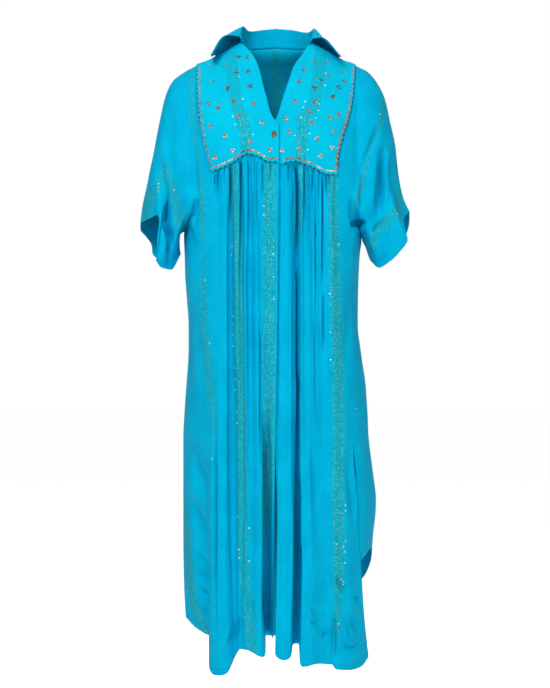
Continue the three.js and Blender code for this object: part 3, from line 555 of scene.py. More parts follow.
# A row holds x and z of one end, of the middle and of the other end, then the width and the depth.
CREASES = {
    "front_left": {
        Deeper.DEEP_GATHER: [
            [-116, -246, -116.5, -275, -115, -330, GATHER, 7],
            [-92.6, -240, -92.5, -290, -92, -360, GATHER, 11],
            [-71.4, -228, -71.6, -330, -71, -560, GATHER, 14],
            [-54.8, -222, -55, -320, -54, -420, GATHER, 10],
            [-27.5, -232, -27.5, -270, -27, -330, GATHER, 8],
            [-31.5, -560, -31.5, -700, -31, -860, WIDE_GATHER, 13],
        ],
        Deeper.AS_READ: [
            [-91, -330, -92, -520, -88, -800, 4.5, 5],
            [-54, -390, -52, -560, -48, -820, 5, 4],
            [-21, -700, -21, -950, -21, -1240, 4.6, 26],
            [-160, -296, -162, -330, -166, -366, 4, 9],
            [-167, -210, -163, -280, -158, -350, 8, 4],
            [-224, -258, -220, -330, -214, -402, 6.5, 30],
            [-217, -346, -212, -398, -218, -452, 6.5, 26],
            [-232, -300, -231, -360, -240, -430, 5, 10],
            [-236, -200, -230, -270, -222, -320, 9, 6],
            [-216, -90, -214, -170, -220, -250, 12, 5],
            [-190, -60, -192, -160, -200, -270, 12, 4],
            [-176, -80, -178, -180, -196, -300, 9, 4],
            [-180, -340, -172, -380, -160, -420, 7, 5],
            [-185, -480, -160, -600, -140, -760, 12, 4],
            [-184, -560, -172, -700, -160, -860, 10, 4],
            [-121.5, -680, -121.5, -1000, -122, -1210, 3, 12],
            [-86, -600, -84, -850, -84, -1220, 12, 8],
            [-66, -820, -60, -930, -46, -1010, 7, 3],
        ],
        Deeper.SMALL_GATHER: [
            [-37, -228, -37, -300, -37, -400, GATHER, 6],
            [-45, -222, -45, -255, -45, -300, GATHER, 5],
            [-63, -218, -63, -250, -62, -290, GATHER, 5],
            [-81, -232, -81, -258, -80, -290, GATHER, 4],
            [-104, -242, -104, -262, -104, -300, GATHER, 4],
            [-122, -250, -123, -280, -124, -330, WIDE_GATHER, 4],
            [-11, -236, -11, -255, -11, -290, GATHER, 4],
        ],
        Deeper.LOW_LEFT: [
            [-182, -770, -160, -850, -128, -930, 11, 5],
            [-182, -880, -156, -950, -126, -990, 9, 5],
            [-168, -1012, -146, -1030, -122, -1046, 5, 4],
            [-158, -1048, -140, -1056, -123, -1068, 5, 3.5],
            [-166, -1060, -146, -1066, -123, -1092, 5, 4.5],
            [-158, -1090, -142, -1096, -122, -1124, 5, 4.5],
            [-152, -1130, -140, -1134, -128, -1152, 5, 3.5],
            [-76, -1130, -84, -1170, -104, -1200, 5, 5],
            [-58, -1080, -52, -1120, -46, -1150, 6, 3],
        ],
    },
    "front_right": {
        Deeper.DEEP_GATHER: [
            [24.5, -236, 24.6, -258, 24, -300, GATHER, 7],
            [38.4, -240, 38.6, -330, 39.4, -470, GATHER, 15],
            [56, -238, 56, -290, 55, -420, GATHER, 9],
            [66.6, -242, 66.5, -330, 65, -460, GATHER, 8],
            [79, -246, 79.2, -400, 80, -600, GATHER, 13],
            [92.2, -250, 92.2, -380, 92, -520, GATHER, 12],
            [94, -490, 94, -560, 94, -640, WIDE_GATHER, 8],
            [99.6, -256, 99.8, -275, 100, -320, GATHER, 7],
        ],
        Deeper.SMALL_GATHER: [
            [27, -300, 26, -400, 24, -520, GATHER, 5],
            [39.4, -430, 39, -640, 38, -900, 1.5, 11],
            [72.6, -246, 73, -270, 73, -310, GATHER, 5],
            [61, -242, 61, -262, 61, -300, GATHER, 5],
            [48, -238, 48, -262, 48, -300, GATHER, 5],
            [86, -250, 86, -280, 86, -330, GATHER, 5],
            [32, -236, 32, -254, 32, -290, GATHER, 4],
            [106, -256, 106, -276, 106, -300, GATHER, 4],
            [118, -258, 118, -276, 118, -300, GATHER, 3],
        ],
        Deeper.AS_READ: [
            [42.5, -250, 43, -340, 41, -450, 3.4, 4],
            [80, -560, 80, -640, 82, -760, 3, 5],
            [104, -620, 112, -650, 120, -680, 5, 5],
            [40, -640, 40, -860, 40, -1230, 2.4, 12],
            [41, -840, 40, -1040, 38, -1240, 5, 20],
            [152, -300, 152, -330, 156, -380, 4, 5],
            [150, -357, 166, -350, 190, -356, 5, 14],
            [168, -340, 172, -300, 168, -262, 5, 5],
            [160, -200, 178, -280, 172, -340, 8, 5],
            [214, -148, 190, -200, 168, -262, 6, 6],
            [222, -186, 212, -276, 206, -376, 8, 26],
            [193, -374, 207, -354, 234, -332, 5, 8],
            [202, -438, 214, -424, 228, -406, 5, 6],
            [236, -190, 232, -290, 214, -400, 8, 6],
            [222, -340, 206, -376, 198, -420, 7, 6],
            [236, -350, 222, -390, 214, -430, 6, 4],
            [164, -440, 146, -560, 140, -720, 10, 4],
            [60, -620, 70, -800, 84, -1000, 9, 4],
            [82, -760, 82, -900, 84, -1030, 10, 5],
            [140, -800, 152, -900, 160, -1000, 9, 5],
        ],
        Deeper.LOW_RIGHT: [
            [120, -1050, 132, -1078, 156, -1098, 4, 7],
            [156, -1098, 166, -1104, 176, -1110, 4, 4],
            [60, -1106, 84, -1132, 108, -1146, 5, 4],
            [60, -1146, 84, -1150, 106, -1182, 5, 5],
            [92, -1186, 104, -1168, 128, -1176, 4, 5],
            [122, -1160, 146, -1158, 144, -1196, 4, 5],
            [132, -1184, 152, -1200, 178, -1180, 4, 5],
            [108, -1200, 130, -1208, 150, -1200, 4, 4],
            [116, -1120, 117, -1180, 118, -1230, 5, 9],
            [150, -1130, 160, -1160, 172, -1176, 5, 4],
        ],
    },
    "bib_left": {
        Deeper.AS_READ: [
            [-74, -4, -64, -12, -52, -22, 4, 1.6],
            [-82, 2, -72, -14, -60, -30, 5, 1.4],
            [-92, -30, -94, -90, -84, -150, 4, 1],
            [-84, -20, -78, -80, -66, -130, 3, 1],
            [-106, -40, -110, -120, -104, -180, 9, 1],
        ],
    },
    "bib_right": {
        Deeper.AS_READ: [
            [58, -2, 52, -18, 44, -28, 4, 1.6],
            [74, 0, 62, -18, 50, -40, 5, 1.4],
            [92, -50, 90, -90, 84, -130, 3, 1.2],
            [74, -60, 72, -100, 66, -130, 3, 1],
            [108, -40, 106, -110, 98, -180, 8, 1.2],
        ],
    },
    "back": {
        Deeper.BACK_WAVE: [
            [-150, -120, -120, -240, -128, -400, 12, 6],
            [150, -120, 118, -250, 124, -420, 12, 6],
            [-60, -60, -54, -200, -70, -420, 14, 5],
            [64, -60, 52, -240, 66, -430, 14, 5],
            [-104, -180, -92, -300, -98, -520, 11, 4],
            [18, -120, 14, -300, 20, -520, 12, 4],
            [98, -240, 88, -420, 96, -640, 11, 4],
            [-168, -520, -110, -640, -60, -820, 11, 5],
            [170, -560, 104, -700, 70, -900, 11, 5],
            [-120, -860, -104, -980, -112, -1140, 10, 6],
            [110, -880, 96, -1000, 104, -1120, 10, 6],
            [-30, -700, -36, -900, -28, -1150, 10, 6],
            [40, -640, 36, -860, 44, -1100, 10, 6],
            [-196, -80, -204, -180, -214, -300, 9, 5],
            [196, -80, 204, -180, 214, -300, 9, 5],
        ],
        Deeper.AS_READ: [
            [-90, -1080, -60, -1130, -20, -1140, 6, 4],
            [10, -1160, 30, -1130, 70, -1120, 6, 4],
            [-156, -330, -166, -350, -186, -362, 6, 10],
            [156, -330, 166, -350, 184, -370, 6, 10],
            [-222, -200, -216, -320, -210, -410, 8, 10],
            [222, -200, 216, -320, 212, -410, 8, 10],
        ],
    },
}


# Across a crease runs a trough, with a raised lip on one side and a wide easy slope on the other.
LIP = 0.22
LIP_AT = 2.1
LIP_WIDE = 1.1
EASE = 0.1
EASE_AT = 2.6
EASE_WIDE = 2.2
NARROW = 3.0
NARROW_RISE = 0.12
WIDE_RISE = 0.32
FADE_FROM = 0.45


@dataclass(frozen=True)
class Crease:
    """A soft trough along a bent path on a panel, or a ridge where its depth is negative."""

    start: tuple[float, float]
    middle: tuple[float, float]
    end: tuple[float, float]
    width: float
    depth: float
    steps: int = 8

    def offset(self, x: Array, z: Array) -> Array:
        """Works out how far the crease moves the cloth outwards.

        Args:
            x: places across.
            z: heights.

        Returns:
            The moves, minus where the cloth sinks.
        """
        ends = np.array([self.start, self.end], float)
        bend = 2 * np.array(self.middle, float) - ends.mean(0)
        t = np.linspace(0, 1, self.steps + 1)[:, None]
        path = (1 - t) ** 2 * ends[0] + 2 * t * (1 - t) * bend + t * t * ends[1]
        nearest = np.full(x.shape, np.inf)
        side = np.zeros(x.shape)
        share = np.zeros(x.shape)
        for step in range(self.steps):
            ax, az = path[step]
            dx, dz = path[step + 1] - path[step]
            length2 = dx * dx + dz * dz
            s = np.clip(((x - ax) * dx + (z - az) * dz) / length2, 0, 1)
            away = np.hypot(x - ax - s * dx, z - az - s * dz)
            turn = (x - ax) * dz - (z - az) * dx
            closer = away < nearest
            nearest = np.where(closer, away, nearest)
            side = np.where(closer, np.sign(turn), side)
            share = np.where(closer, (step + s) / self.steps, share)
        across = nearest / self.width
        trough = np.exp(-(across**2))
        lip = LIP * np.exp(-(((across * side - LIP_AT) / LIP_WIDE) ** 2))
        ease = EASE * np.exp(-(((across * side + EASE_AT) / EASE_WIDE) ** 2))
        rise = NARROW_RISE if self.width < NARROW else WIDE_RISE
        fade = smooth(0, rise, share) * smooth(1, FADE_FROM, share)
        return -self.depth * (trough - lip + ease) * fade


def creases_of(name: str) -> list[Crease]:
    """Returns the creases of a panel, with depths to the nearest 0.1 mm."""
    return [
        Crease((x0, z0), (x1, z1), (x2, z2), width, round(depth * deeper.value, 1))
        for deeper, rows in CREASES.get(name, {}).items()
        for x0, z0, x1, z1, x2, z2, width, depth in rows
    ]


def sleeve_points(grid: Array, half: Half, face: Face, place: Any) -> None:
    """Fills in half a sleeve, whose rows run down the arm's width and columns along the arm.

    Args:
        grid: the panel's control points, which already hold the armhole.
        half: the sizes of that side.
        face: front or back.
        place: gives the column of a step along the sleeve.
    """
    heights = half.side_heights()
    shares = [(heights[0] - z) / (heights[0] - half.underarm_z) for z in heights[: ROW_ARM + 1]]
    hem = half.front_hem if face is Face.FRONT else half.back_hem
    hem_curves = {axis: hem.curve("share", axis) for axis in "xyz"}
    sides = []
    for rows in (half.overarm, half.underarm):
        steps = np.hypot(np.diff(rows["x"]), np.diff(rows["z"]))
        at = np.concatenate([[0], np.cumsum(steps)]) / steps.sum()
        sides.append({axis: Curve(at, rows[axis]) for axis in "xz"})
    over, under = sides
    for step, t in enumerate(SLEEVE_STEPS):
        for row, s in enumerate(shares):
            start = dict(zip("xyz", grid[row, place(0)]))
            point = {}
            for axis in "xz":
                ruled = mix(start[axis], hem_curves[axis](s), t) + mix(over[axis](t), under[axis](t), s)
                top = mix(half.overarm[axis][0], half.overarm[axis][-1], t)
                foot = mix(half.underarm[axis][0], half.underarm[axis][-1], t)
                point[axis] = ruled - mix(top, foot, s)
            power = SLEEVE_ROUNDNESS
            arm = mix(ARM_DEEP, ARM_DEEP_CUFF, t) * (1 - abs(2 * s - 1) ** power) ** (1 / power)
            near = smooth(0, 0.5, t)
            body = abs(start["y"]) * (1 - near)
            deep = mix(body + arm * near, hem_curves["y"](s), smooth(0.55, 1, t))
            edge = row in (0, ROW_ARM)
            y = SEAM_GAP / 2 if edge else max(deep, SEAM_GAP / 2 + 1.5)
            grid[row, place(step + 1)] = [point["x"], face.value * y, point["z"]]


def front_control(half: Half) -> Array:
    """Works out the control points of one half of the front with its half sleeve.

    Args:
        half: the sizes of that side.

    Returns:
        Points by row and column, empty where there is no cloth.
    """
    heights = half.side_heights()
    folds = half.folds
    last = len(folds["seam"]) - 1
    bib_edge = half.bib_edge.curve("z", "x")
    bib_foot = half.bib_foot.curve("x", "z")
    armhole = half.armhole.curve("z", "x")
    seam_turn = half.seam.curve("z", "turn")
    grid = np.full((LAST_ROW + 1, last + 1 + len(SLEEVE_STEPS), 3), np.nan)

    def fold_curves(column: int, bent: bool) -> tuple[Curve, Curve]:
        """Returns the curves of a fold's place across and how far it stands out."""
        z = [FOLD_SEAM, FOLD_MID, folds["hem"][column]]
        x = [folds["seam"][column], folds["mid"][column], folds["low"][column]]
        out = [folds["outSeam"][column], folds["outMid"][column], folds["outLow"][column]]
        if bent and column < len(half.knee):
            z.insert(2, FOLD_KNEE)
            x.insert(2, half.knee[column][0])
            out.insert(2, half.knee[column][1])
        return Curve(z, x), Curve(z, out)

    inner_fold = fold_curves(half.bib_column, False)[0]
    outer_fold = fold_curves(last, False)[0]
    for column in range(last + 1):
        fold_x, fold_out = fold_curves(column, True)
        side = (column - half.bib_column) / (last - half.bib_column)
        for row in range(ROW_BIB if side < 0 else 0, LAST_ROW + 1):
            if row < len(heights):
                z = heights[row]
            else:
                z = mix(HEM_FROM, folds["hem"][column], HEM_ROWS[row - len(heights)])
            x = float(fold_x(z))
            out = float(fold_out(z))
            if side < 0 and row < ROW_ARM:
                foot = bib_foot(folds["seam"][column])
                z += (foot - half.corner_z) * (1 - smooth(half.corner_z - BELOW_BIB, half.underarm_z, z))
                fade = 1 if column < half.lapped else BIB_FADE[row - ROW_BIB]
                out = min(out, 0) * fade + max(out, 0) * (0 if row < ROW_BIB + 2 else fade)
                x = float(fold_x(z))
            if side >= 0 and row <= ROW_ARM:
                x = mix(bib_edge(z) - half.sign * LAP, armhole(z), side)
                out = 0
            if side > 0 and row > ROW_ARM:
                start = inner_fold(z)
                reach = (x - start) / (outer_fold(z) - start)
                share = mix(side, reach, smooth(heights[ROW_ARM], heights[ROW_ARM] - SIDE_EASE, z))
                x = mix(start, BODY.section(seam_turn(z), z, half.sign)[0], share)
            y = -BODY.depth(x, z, Face.FRONT) - out
            if column == last and row > ROW_ARM:
                turn = seam_turn(z)
                edge = BODY.section(turn, z, half.sign)
                edge = edge - BODY.tangent(turn, z, half.sign) * SEAM_GAP / 2
                x, y = edge[:2]
            if row == 0:
                y = -SEAM_GAP / 2
                z = RIDGE(abs(x))
            if column == last and row == ROW_ARM:
                x = half.underarm["x"][0]
                y = -SEAM_GAP / 2
            grid[row, column] = [x, y, z]
    sleeve_points(grid, half, Face.FRONT, lambda step: last + step)
    return grid


def back_control() -> Array:
    """Works out the control points of the back with the back halves of both sleeves.

    Returns:
        Points by row and column, the left sleeve first.
    """
    sides = {-1: LEFT, 1: RIGHT}
    heights = {sign: half.side_heights() for sign, half in sides.items()}
    armholes = {sign: half.armhole.curve("z", "x") for sign, half in sides.items()}
    seams = {sign: half.seam.curve("z", "turn") for sign, half in sides.items()}
    free = {sign: (rows.curve("z", "turn"), rows.curve("z", "sunk")) for sign, rows in BACK_EDGES.items()}
    steps = len(SLEEVE_STEPS)
    grid = np.full((LAST_ROW + 1, BACK_COLUMNS + 1 + 2 * steps, 3), np.nan)
    for column in range(BACK_COLUMNS + 1):
        across = 2 * column / BACK_COLUMNS - 1
        sign = -1 if across < 0 else 1
        half = sides[sign]
        end = abs(across) == 1
        share = (across + 1) / 2
        for row in range(LAST_ROW + 1):
            if row < len(heights[1]):
                z = mix(heights[-1][row], heights[1][row], share)
            else:
                z = mix(HEM_FROM, BACK_ROWS_TO, HEM_ROWS[row - len(heights[1])])
            if z < BACK_ROWS_FROM:
                drop = (z - BACK_ROWS_FROM) / (BACK_ROWS_TO - BACK_ROWS_FROM)
                z = mix(BACK_ROWS_FROM, float(BACK_HEM(across)), drop)
            if row <= ROW_ARM:
                reach = abs(armholes[sign](z))
                x = np.sign(across) * reach * abs(across)
                if row < ROW_BIB:
                    out = abs(across) * BACK_HALF_TOP
                    top = BACK_NECK(out) if out < NECK_OUT else RIDGE(out)
                    foot = mix(heights[-1][ROW_BIB], heights[1][ROW_BIB], share)
                    z = mix(top, foot, UPPER_ROWS[row])
                y = float(BODY.depth(x, z, Face.BACK))
                if abs(x) < NECK_OUT:
                    neck = NECK_DEEP * math.sqrt(1 - (x / NECK_OUT) ** 2)
                    shoulder = UPPER_ROWS[row] if row < ROW_BIB else 1
                    y = mix(neck, y, float(smooth(0, 0.1, shoulder)))
                if row == 0 and abs(x) >= NECK_SEAM_TO:
                    y = SEAM_GAP / 2
                if end and row == ROW_ARM:
                    x = half.underarm["x"][0]
                    y = SEAM_GAP / 2
            else:
                turn = float(seams[sign](z) if z > SLIT_TOP else free[sign][0](z))
                x, y = BODY.section(mix(180, turn, abs(across)), z, sign)[:2]
                near = np.exp(-(((across - BACK_FOLDS["across"]) / BACK_FOLDS["width"]) ** 2))
                grown = [smooth(start, start - BACK_FOLD_GROWTH, z) for start in BACK_FOLDS["start"]]
                y += float((BACK_FOLDS["out"] * near * np.array(grown)).sum())
                if end:
                    seam = BODY.tangent(turn, z, sign)
                    x += seam[0] * SEAM_GAP / 2
                    y += seam[1] * SEAM_GAP / 2 + float(free[sign][1](z))
            grid[row, column + steps] = [x, y, z]
    sleeve_points(grid, LEFT, Face.BACK, lambda step: steps - step)
    sleeve_points(grid, RIGHT, Face.BACK, lambda step: steps + BACK_COLUMNS + step)
    return grid


def bib_control(half: Half) -> Array:
    """Works out a fine grid of points of one half of the bib, on the body under it.

    Args:
        half: the sizes of that side.

    Returns:
        Points by row and column.
    """
    neck = half.neck_edge
    edge = half.bib_edge
    neck_x = neck.curve("z", "x")
    edge_x = edge.curve("z", "x")
    foot_z = half.bib_foot.curve("x", "z")
    v = np.concatenate([np.linspace(0, 0.06, 8)[:-1], np.linspace(0.06, 1, 56)])[:, None]
    u = np.linspace(0, 1, 52)[None, :]
    neck_z = mix(neck["z"][0], neck["z"][-1], v)
    edge_z = mix(edge["z"][0], edge["z"][-1], v)
    inner = {"x": neck_x(neck_z), "z": neck_z}
    outer = {"x": edge_x(edge_z), "z": edge_z}
    top_x = mix(neck["x"][0], edge["x"][0], u)
    foot_x = mix(neck["x"][-1], edge["x"][-1], u)
    top = {"x": top_x, "z": RIDGE(np.abs(top_x))}
    foot = {"x": foot_x, "z": foot_z(foot_x)}
    blend = {}
    for axis in "xz":
        start = mix(neck[axis][0], edge[axis][0], u)
        end = mix(neck[axis][-1], edge[axis][-1], u)
        ruled = mix(inner[axis], outer[axis], u) + mix(top[axis], foot[axis], v)
        blend[axis] = ruled - mix(start, end, v)
    x, z = blend["x"], blend["z"]
    y = -BODY.depth(x, z, Face.FRONT)
    if half.lapped:
        share = smooth(0.173, 0.128, u) * smooth(-128, -150, z)
        y = y + CENTRE_UNDER * share
    y[0] = -SEAM_GAP / 2
    return np.stack([x, y, z], -1)


def collar_control() -> Array:
    """Works out a fine grid of points of the collar, station by station around the neck.

    Returns:
        Points by station and by place from the neck seam over the roll to the edge.
    """
    curves = {name: COLLAR_STATIONS.curve("around", name) for name in COLLAR_STATIONS.columns}
    arounds = np.linspace(-COLLAR_END, COLLAR_END, 119)
    shares = np.concatenate([
        np.linspace(0, 0.8, 9)[:-1], np.linspace(0.8, 1.2, 9)[:-1], np.linspace(1.2, 3, 22),
    ])
    rows = []
    for around in arounds:
        turn = math.radians(around)
        out = np.array([math.sin(turn), math.cos(turn), 0])
        half = LEFT if around < 0 else RIGHT
        base = np.array([NECK_OUT * out[0], NECK_DEEP * out[1], 0])
        if abs(around) > 90:
            base[2] = half.neck_edge.curve("x", "z")(base[0])
            base[1] = -BODY.depth(base[0], base[2], Face.FRONT)
        else:
            base[2] = BACK_NECK(abs(base[0]))
        base[2] += mix(COLLAR_LIFT, WALL + LAP_GAP + 0.6, float(smooth(55, 80, abs(around))))
        size = {name: float(curve(around)) for name, curve in curves.items()}
        roll = base + out * size["lean"] + [0, 0, size["rise"]]
        mid = roll + out * size["midOut"] + [0, 0, size["midUp"]]
        edge = roll + out * size["edgeOut"] + [0, -size["forward"], size["edgeUp"]]
        profile = np.array([base, roll, mid, edge])
        rows.append(np.stack([Curve(range(4), profile[:, i])(shares) for i in range(3)], -1))
    return np.array(rows)


def places(lengths: Array, cells: Array) -> Array:
    """Divides each step between control points into short steps.

    Args:
        lengths: how long each step is.
        cells: the longest short step wanted in each.

    Returns:
        The places, counted in control points.
    """
    counts = np.ceil(lengths / cells).astype(int)
    parts = [np.linspace(i, i + 1, max(1, count), endpoint=False) for i, count in enumerate(counts)]
    return np.concatenate([*parts, [len(lengths)]])


def refine(control: Array, row_cell: float, column_cells: Any) -> Array:
    """Draws a smooth fine grid through every control point.

    Args:
        control: points by row and column, empty where there is no cloth.
        row_cell: the longest step between rows.
        column_cells: the longest step between columns, one for all or one for each control column.

    Returns:
        The fine grid, empty in the same places.
    """
    down = np.nanmean(np.linalg.norm(np.diff(control, axis=0), axis=2), axis=1)
    over = np.nanmean(np.linalg.norm(np.diff(control, axis=1), axis=2), axis=0)
    rows = places(down, np.full(len(down), row_cell))
    columns = places(over, np.broadcast_to(column_cells, len(over)))
    tall = np.full((len(rows), control.shape[1], 3), np.nan)
    for column in range(control.shape[1]):
        there = np.flatnonzero(~np.isnan(control[:, column, 0]))
        within = (rows >= there[0]) & (rows <= there[-1])
        for axis in range(3):
            tall[within, column, axis] = Curve(there, control[there, column, axis])(rows[within])
    fine = np.full((len(rows), len(columns), 3), np.nan)
    for row in range(len(rows)):
        there = np.flatnonzero(~np.isnan(tall[row, :, 0]))
        within = (columns >= there[0]) & (columns <= there[-1])
        for axis in range(3):
            fine[row, within, axis] = Curve(there, tall[row, there, axis])(columns[within])
    return fine


def run_length(points: Array, axis: int, back: bool) -> Array:
    """Measures along a grid's lines to one of its edges.

    Args:
        points: the grid.
        axis: 0 to measure along columns and 1 along rows.
        back: True to measure to the last line, and False to the first.

    Returns:
        The length from each point to that edge.
    """
    steps = np.nan_to_num(np.linalg.norm(np.diff(points, axis=axis), axis=2))
    total = np.concatenate([np.zeros_like(np.take(steps, [0], axis)), np.cumsum(steps, axis)], axis)
    if back:
        return np.take(total, [-1], axis) - total
    return total


def band_marks(name: str, x: Array, z: Array) -> Array:
    """Describes the nearest woven band at each point.

    Args:
        name: the panel.
        x: places across.
        z: heights.

    Returns:
        How far outside the band each point lies, in millimetres, how strong the band's colour is there
        and how strong its painted glints and painted weave shade are.
    """
    marks = np.stack([np.full(x.shape, FAR), np.zeros(x.shape), np.zeros(x.shape)], -1)
    for track in BAND_TRACKS[name]:
        rows = Table(BAND_COLUMNS, track)
        centre = rows.curve("z", "x")
        lean = (centre(z + 5) - centre(z - 5)) / 10
        outside = np.abs(x - centre(z)) / np.sqrt(1 + lean * lean) - rows.curve("z", "half")(z)
        outside = np.where((z > rows["z"].max()) | (z < rows["z"].min()), FAR, outside)
        here = np.stack([outside, rows.curve("z", "strength")(z), rows.curve("z", "glitter")(z)], -1)
        marks = np.where((outside < marks[..., 0])[..., None], here, marks)
    return marks


def from_photo(across: float, down: float, depth: float) -> tuple[int, int]:
    """Turns a place read as pixels of the photo into millimetres.

    Args:
        across: pixels from the photo's left side.
        down: pixels from its top.
        depth: how far behind the middle plane the place lies, minus where it lies in front.

    Returns:
        The place across and its height, to the nearest millimetre.
    """
    pixel = PIXEL_MM * (VIEW_FAR + depth) / VIEW_FAR
    x = VIEW_X + (across - PHOTO_MIDDLE_X) * pixel
    z = VIEW_Z - (down - PHOTO_MIDDLE_Y) * pixel
    return round(x), round(z)


def linear(code: str) -> tuple[float, float, float, float]:
    """Turns an sRGB hex colour into linear values with full alpha."""
    parts = [int(code[i : i + 2], 16) / 255 for i in (1, 3, 5)]
    return (*[p / 12.92 if p <= 0.04045 else ((p + 0.055) / 1.055) ** 2.4 for p in parts], 1.0)


def add_node(
    tree: bpy.types.NodeTree, kind: str, inputs: dict | None = None, **settings: Any
) -> bpy.types.Node:
    """Adds a node with its settings, values and links.

    Args:
        tree: the tree that it goes in.
        kind: the node's type.
        inputs: for each input, by name or number, a value or the output that feeds it.
        settings: properties of the node.

    Returns:
        The node.
    """
    node = tree.nodes.new(kind)
    for key, value in settings.items():
        setattr(node, key, value)
    for key, value in (inputs or {}).items():
        if isinstance(value, bpy.types.NodeSocket):
            tree.links.new(value, node.inputs[key])
        else:
            node.inputs[key].default_value = value
    return node


def new_material(name: str) -> tuple[bpy.types.Material, bpy.types.NodeTree]:
    """Starts a material with nothing in it but its output."""
    material = bpy.data.materials.new(name)
    material.use_nodes = True
    tree = material.node_tree
    tree.nodes.clear()
    return material, tree


def mix_colours(tree: bpy.types.NodeTree, share: Any, first: Any, second: Any) -> bpy.types.NodeSocket:
    """Returns the colour at a share of the way from the first to the second."""
    inputs = {"Factor": share, "A": first, "B": second}
    return add_node(tree, "ShaderNodeMix", inputs, data_type="RGBA").outputs[2]


def add_surface(tree: bpy.types.NodeTree, inputs: dict) -> None:
    """Adds the shader with its values and links it to the material's output."""
    shader = add_node(tree, "ShaderNodeBsdfPrincipled", inputs)
    add_node(tree, "ShaderNodeOutputMaterial", {"Surface": shader.outputs[0]})


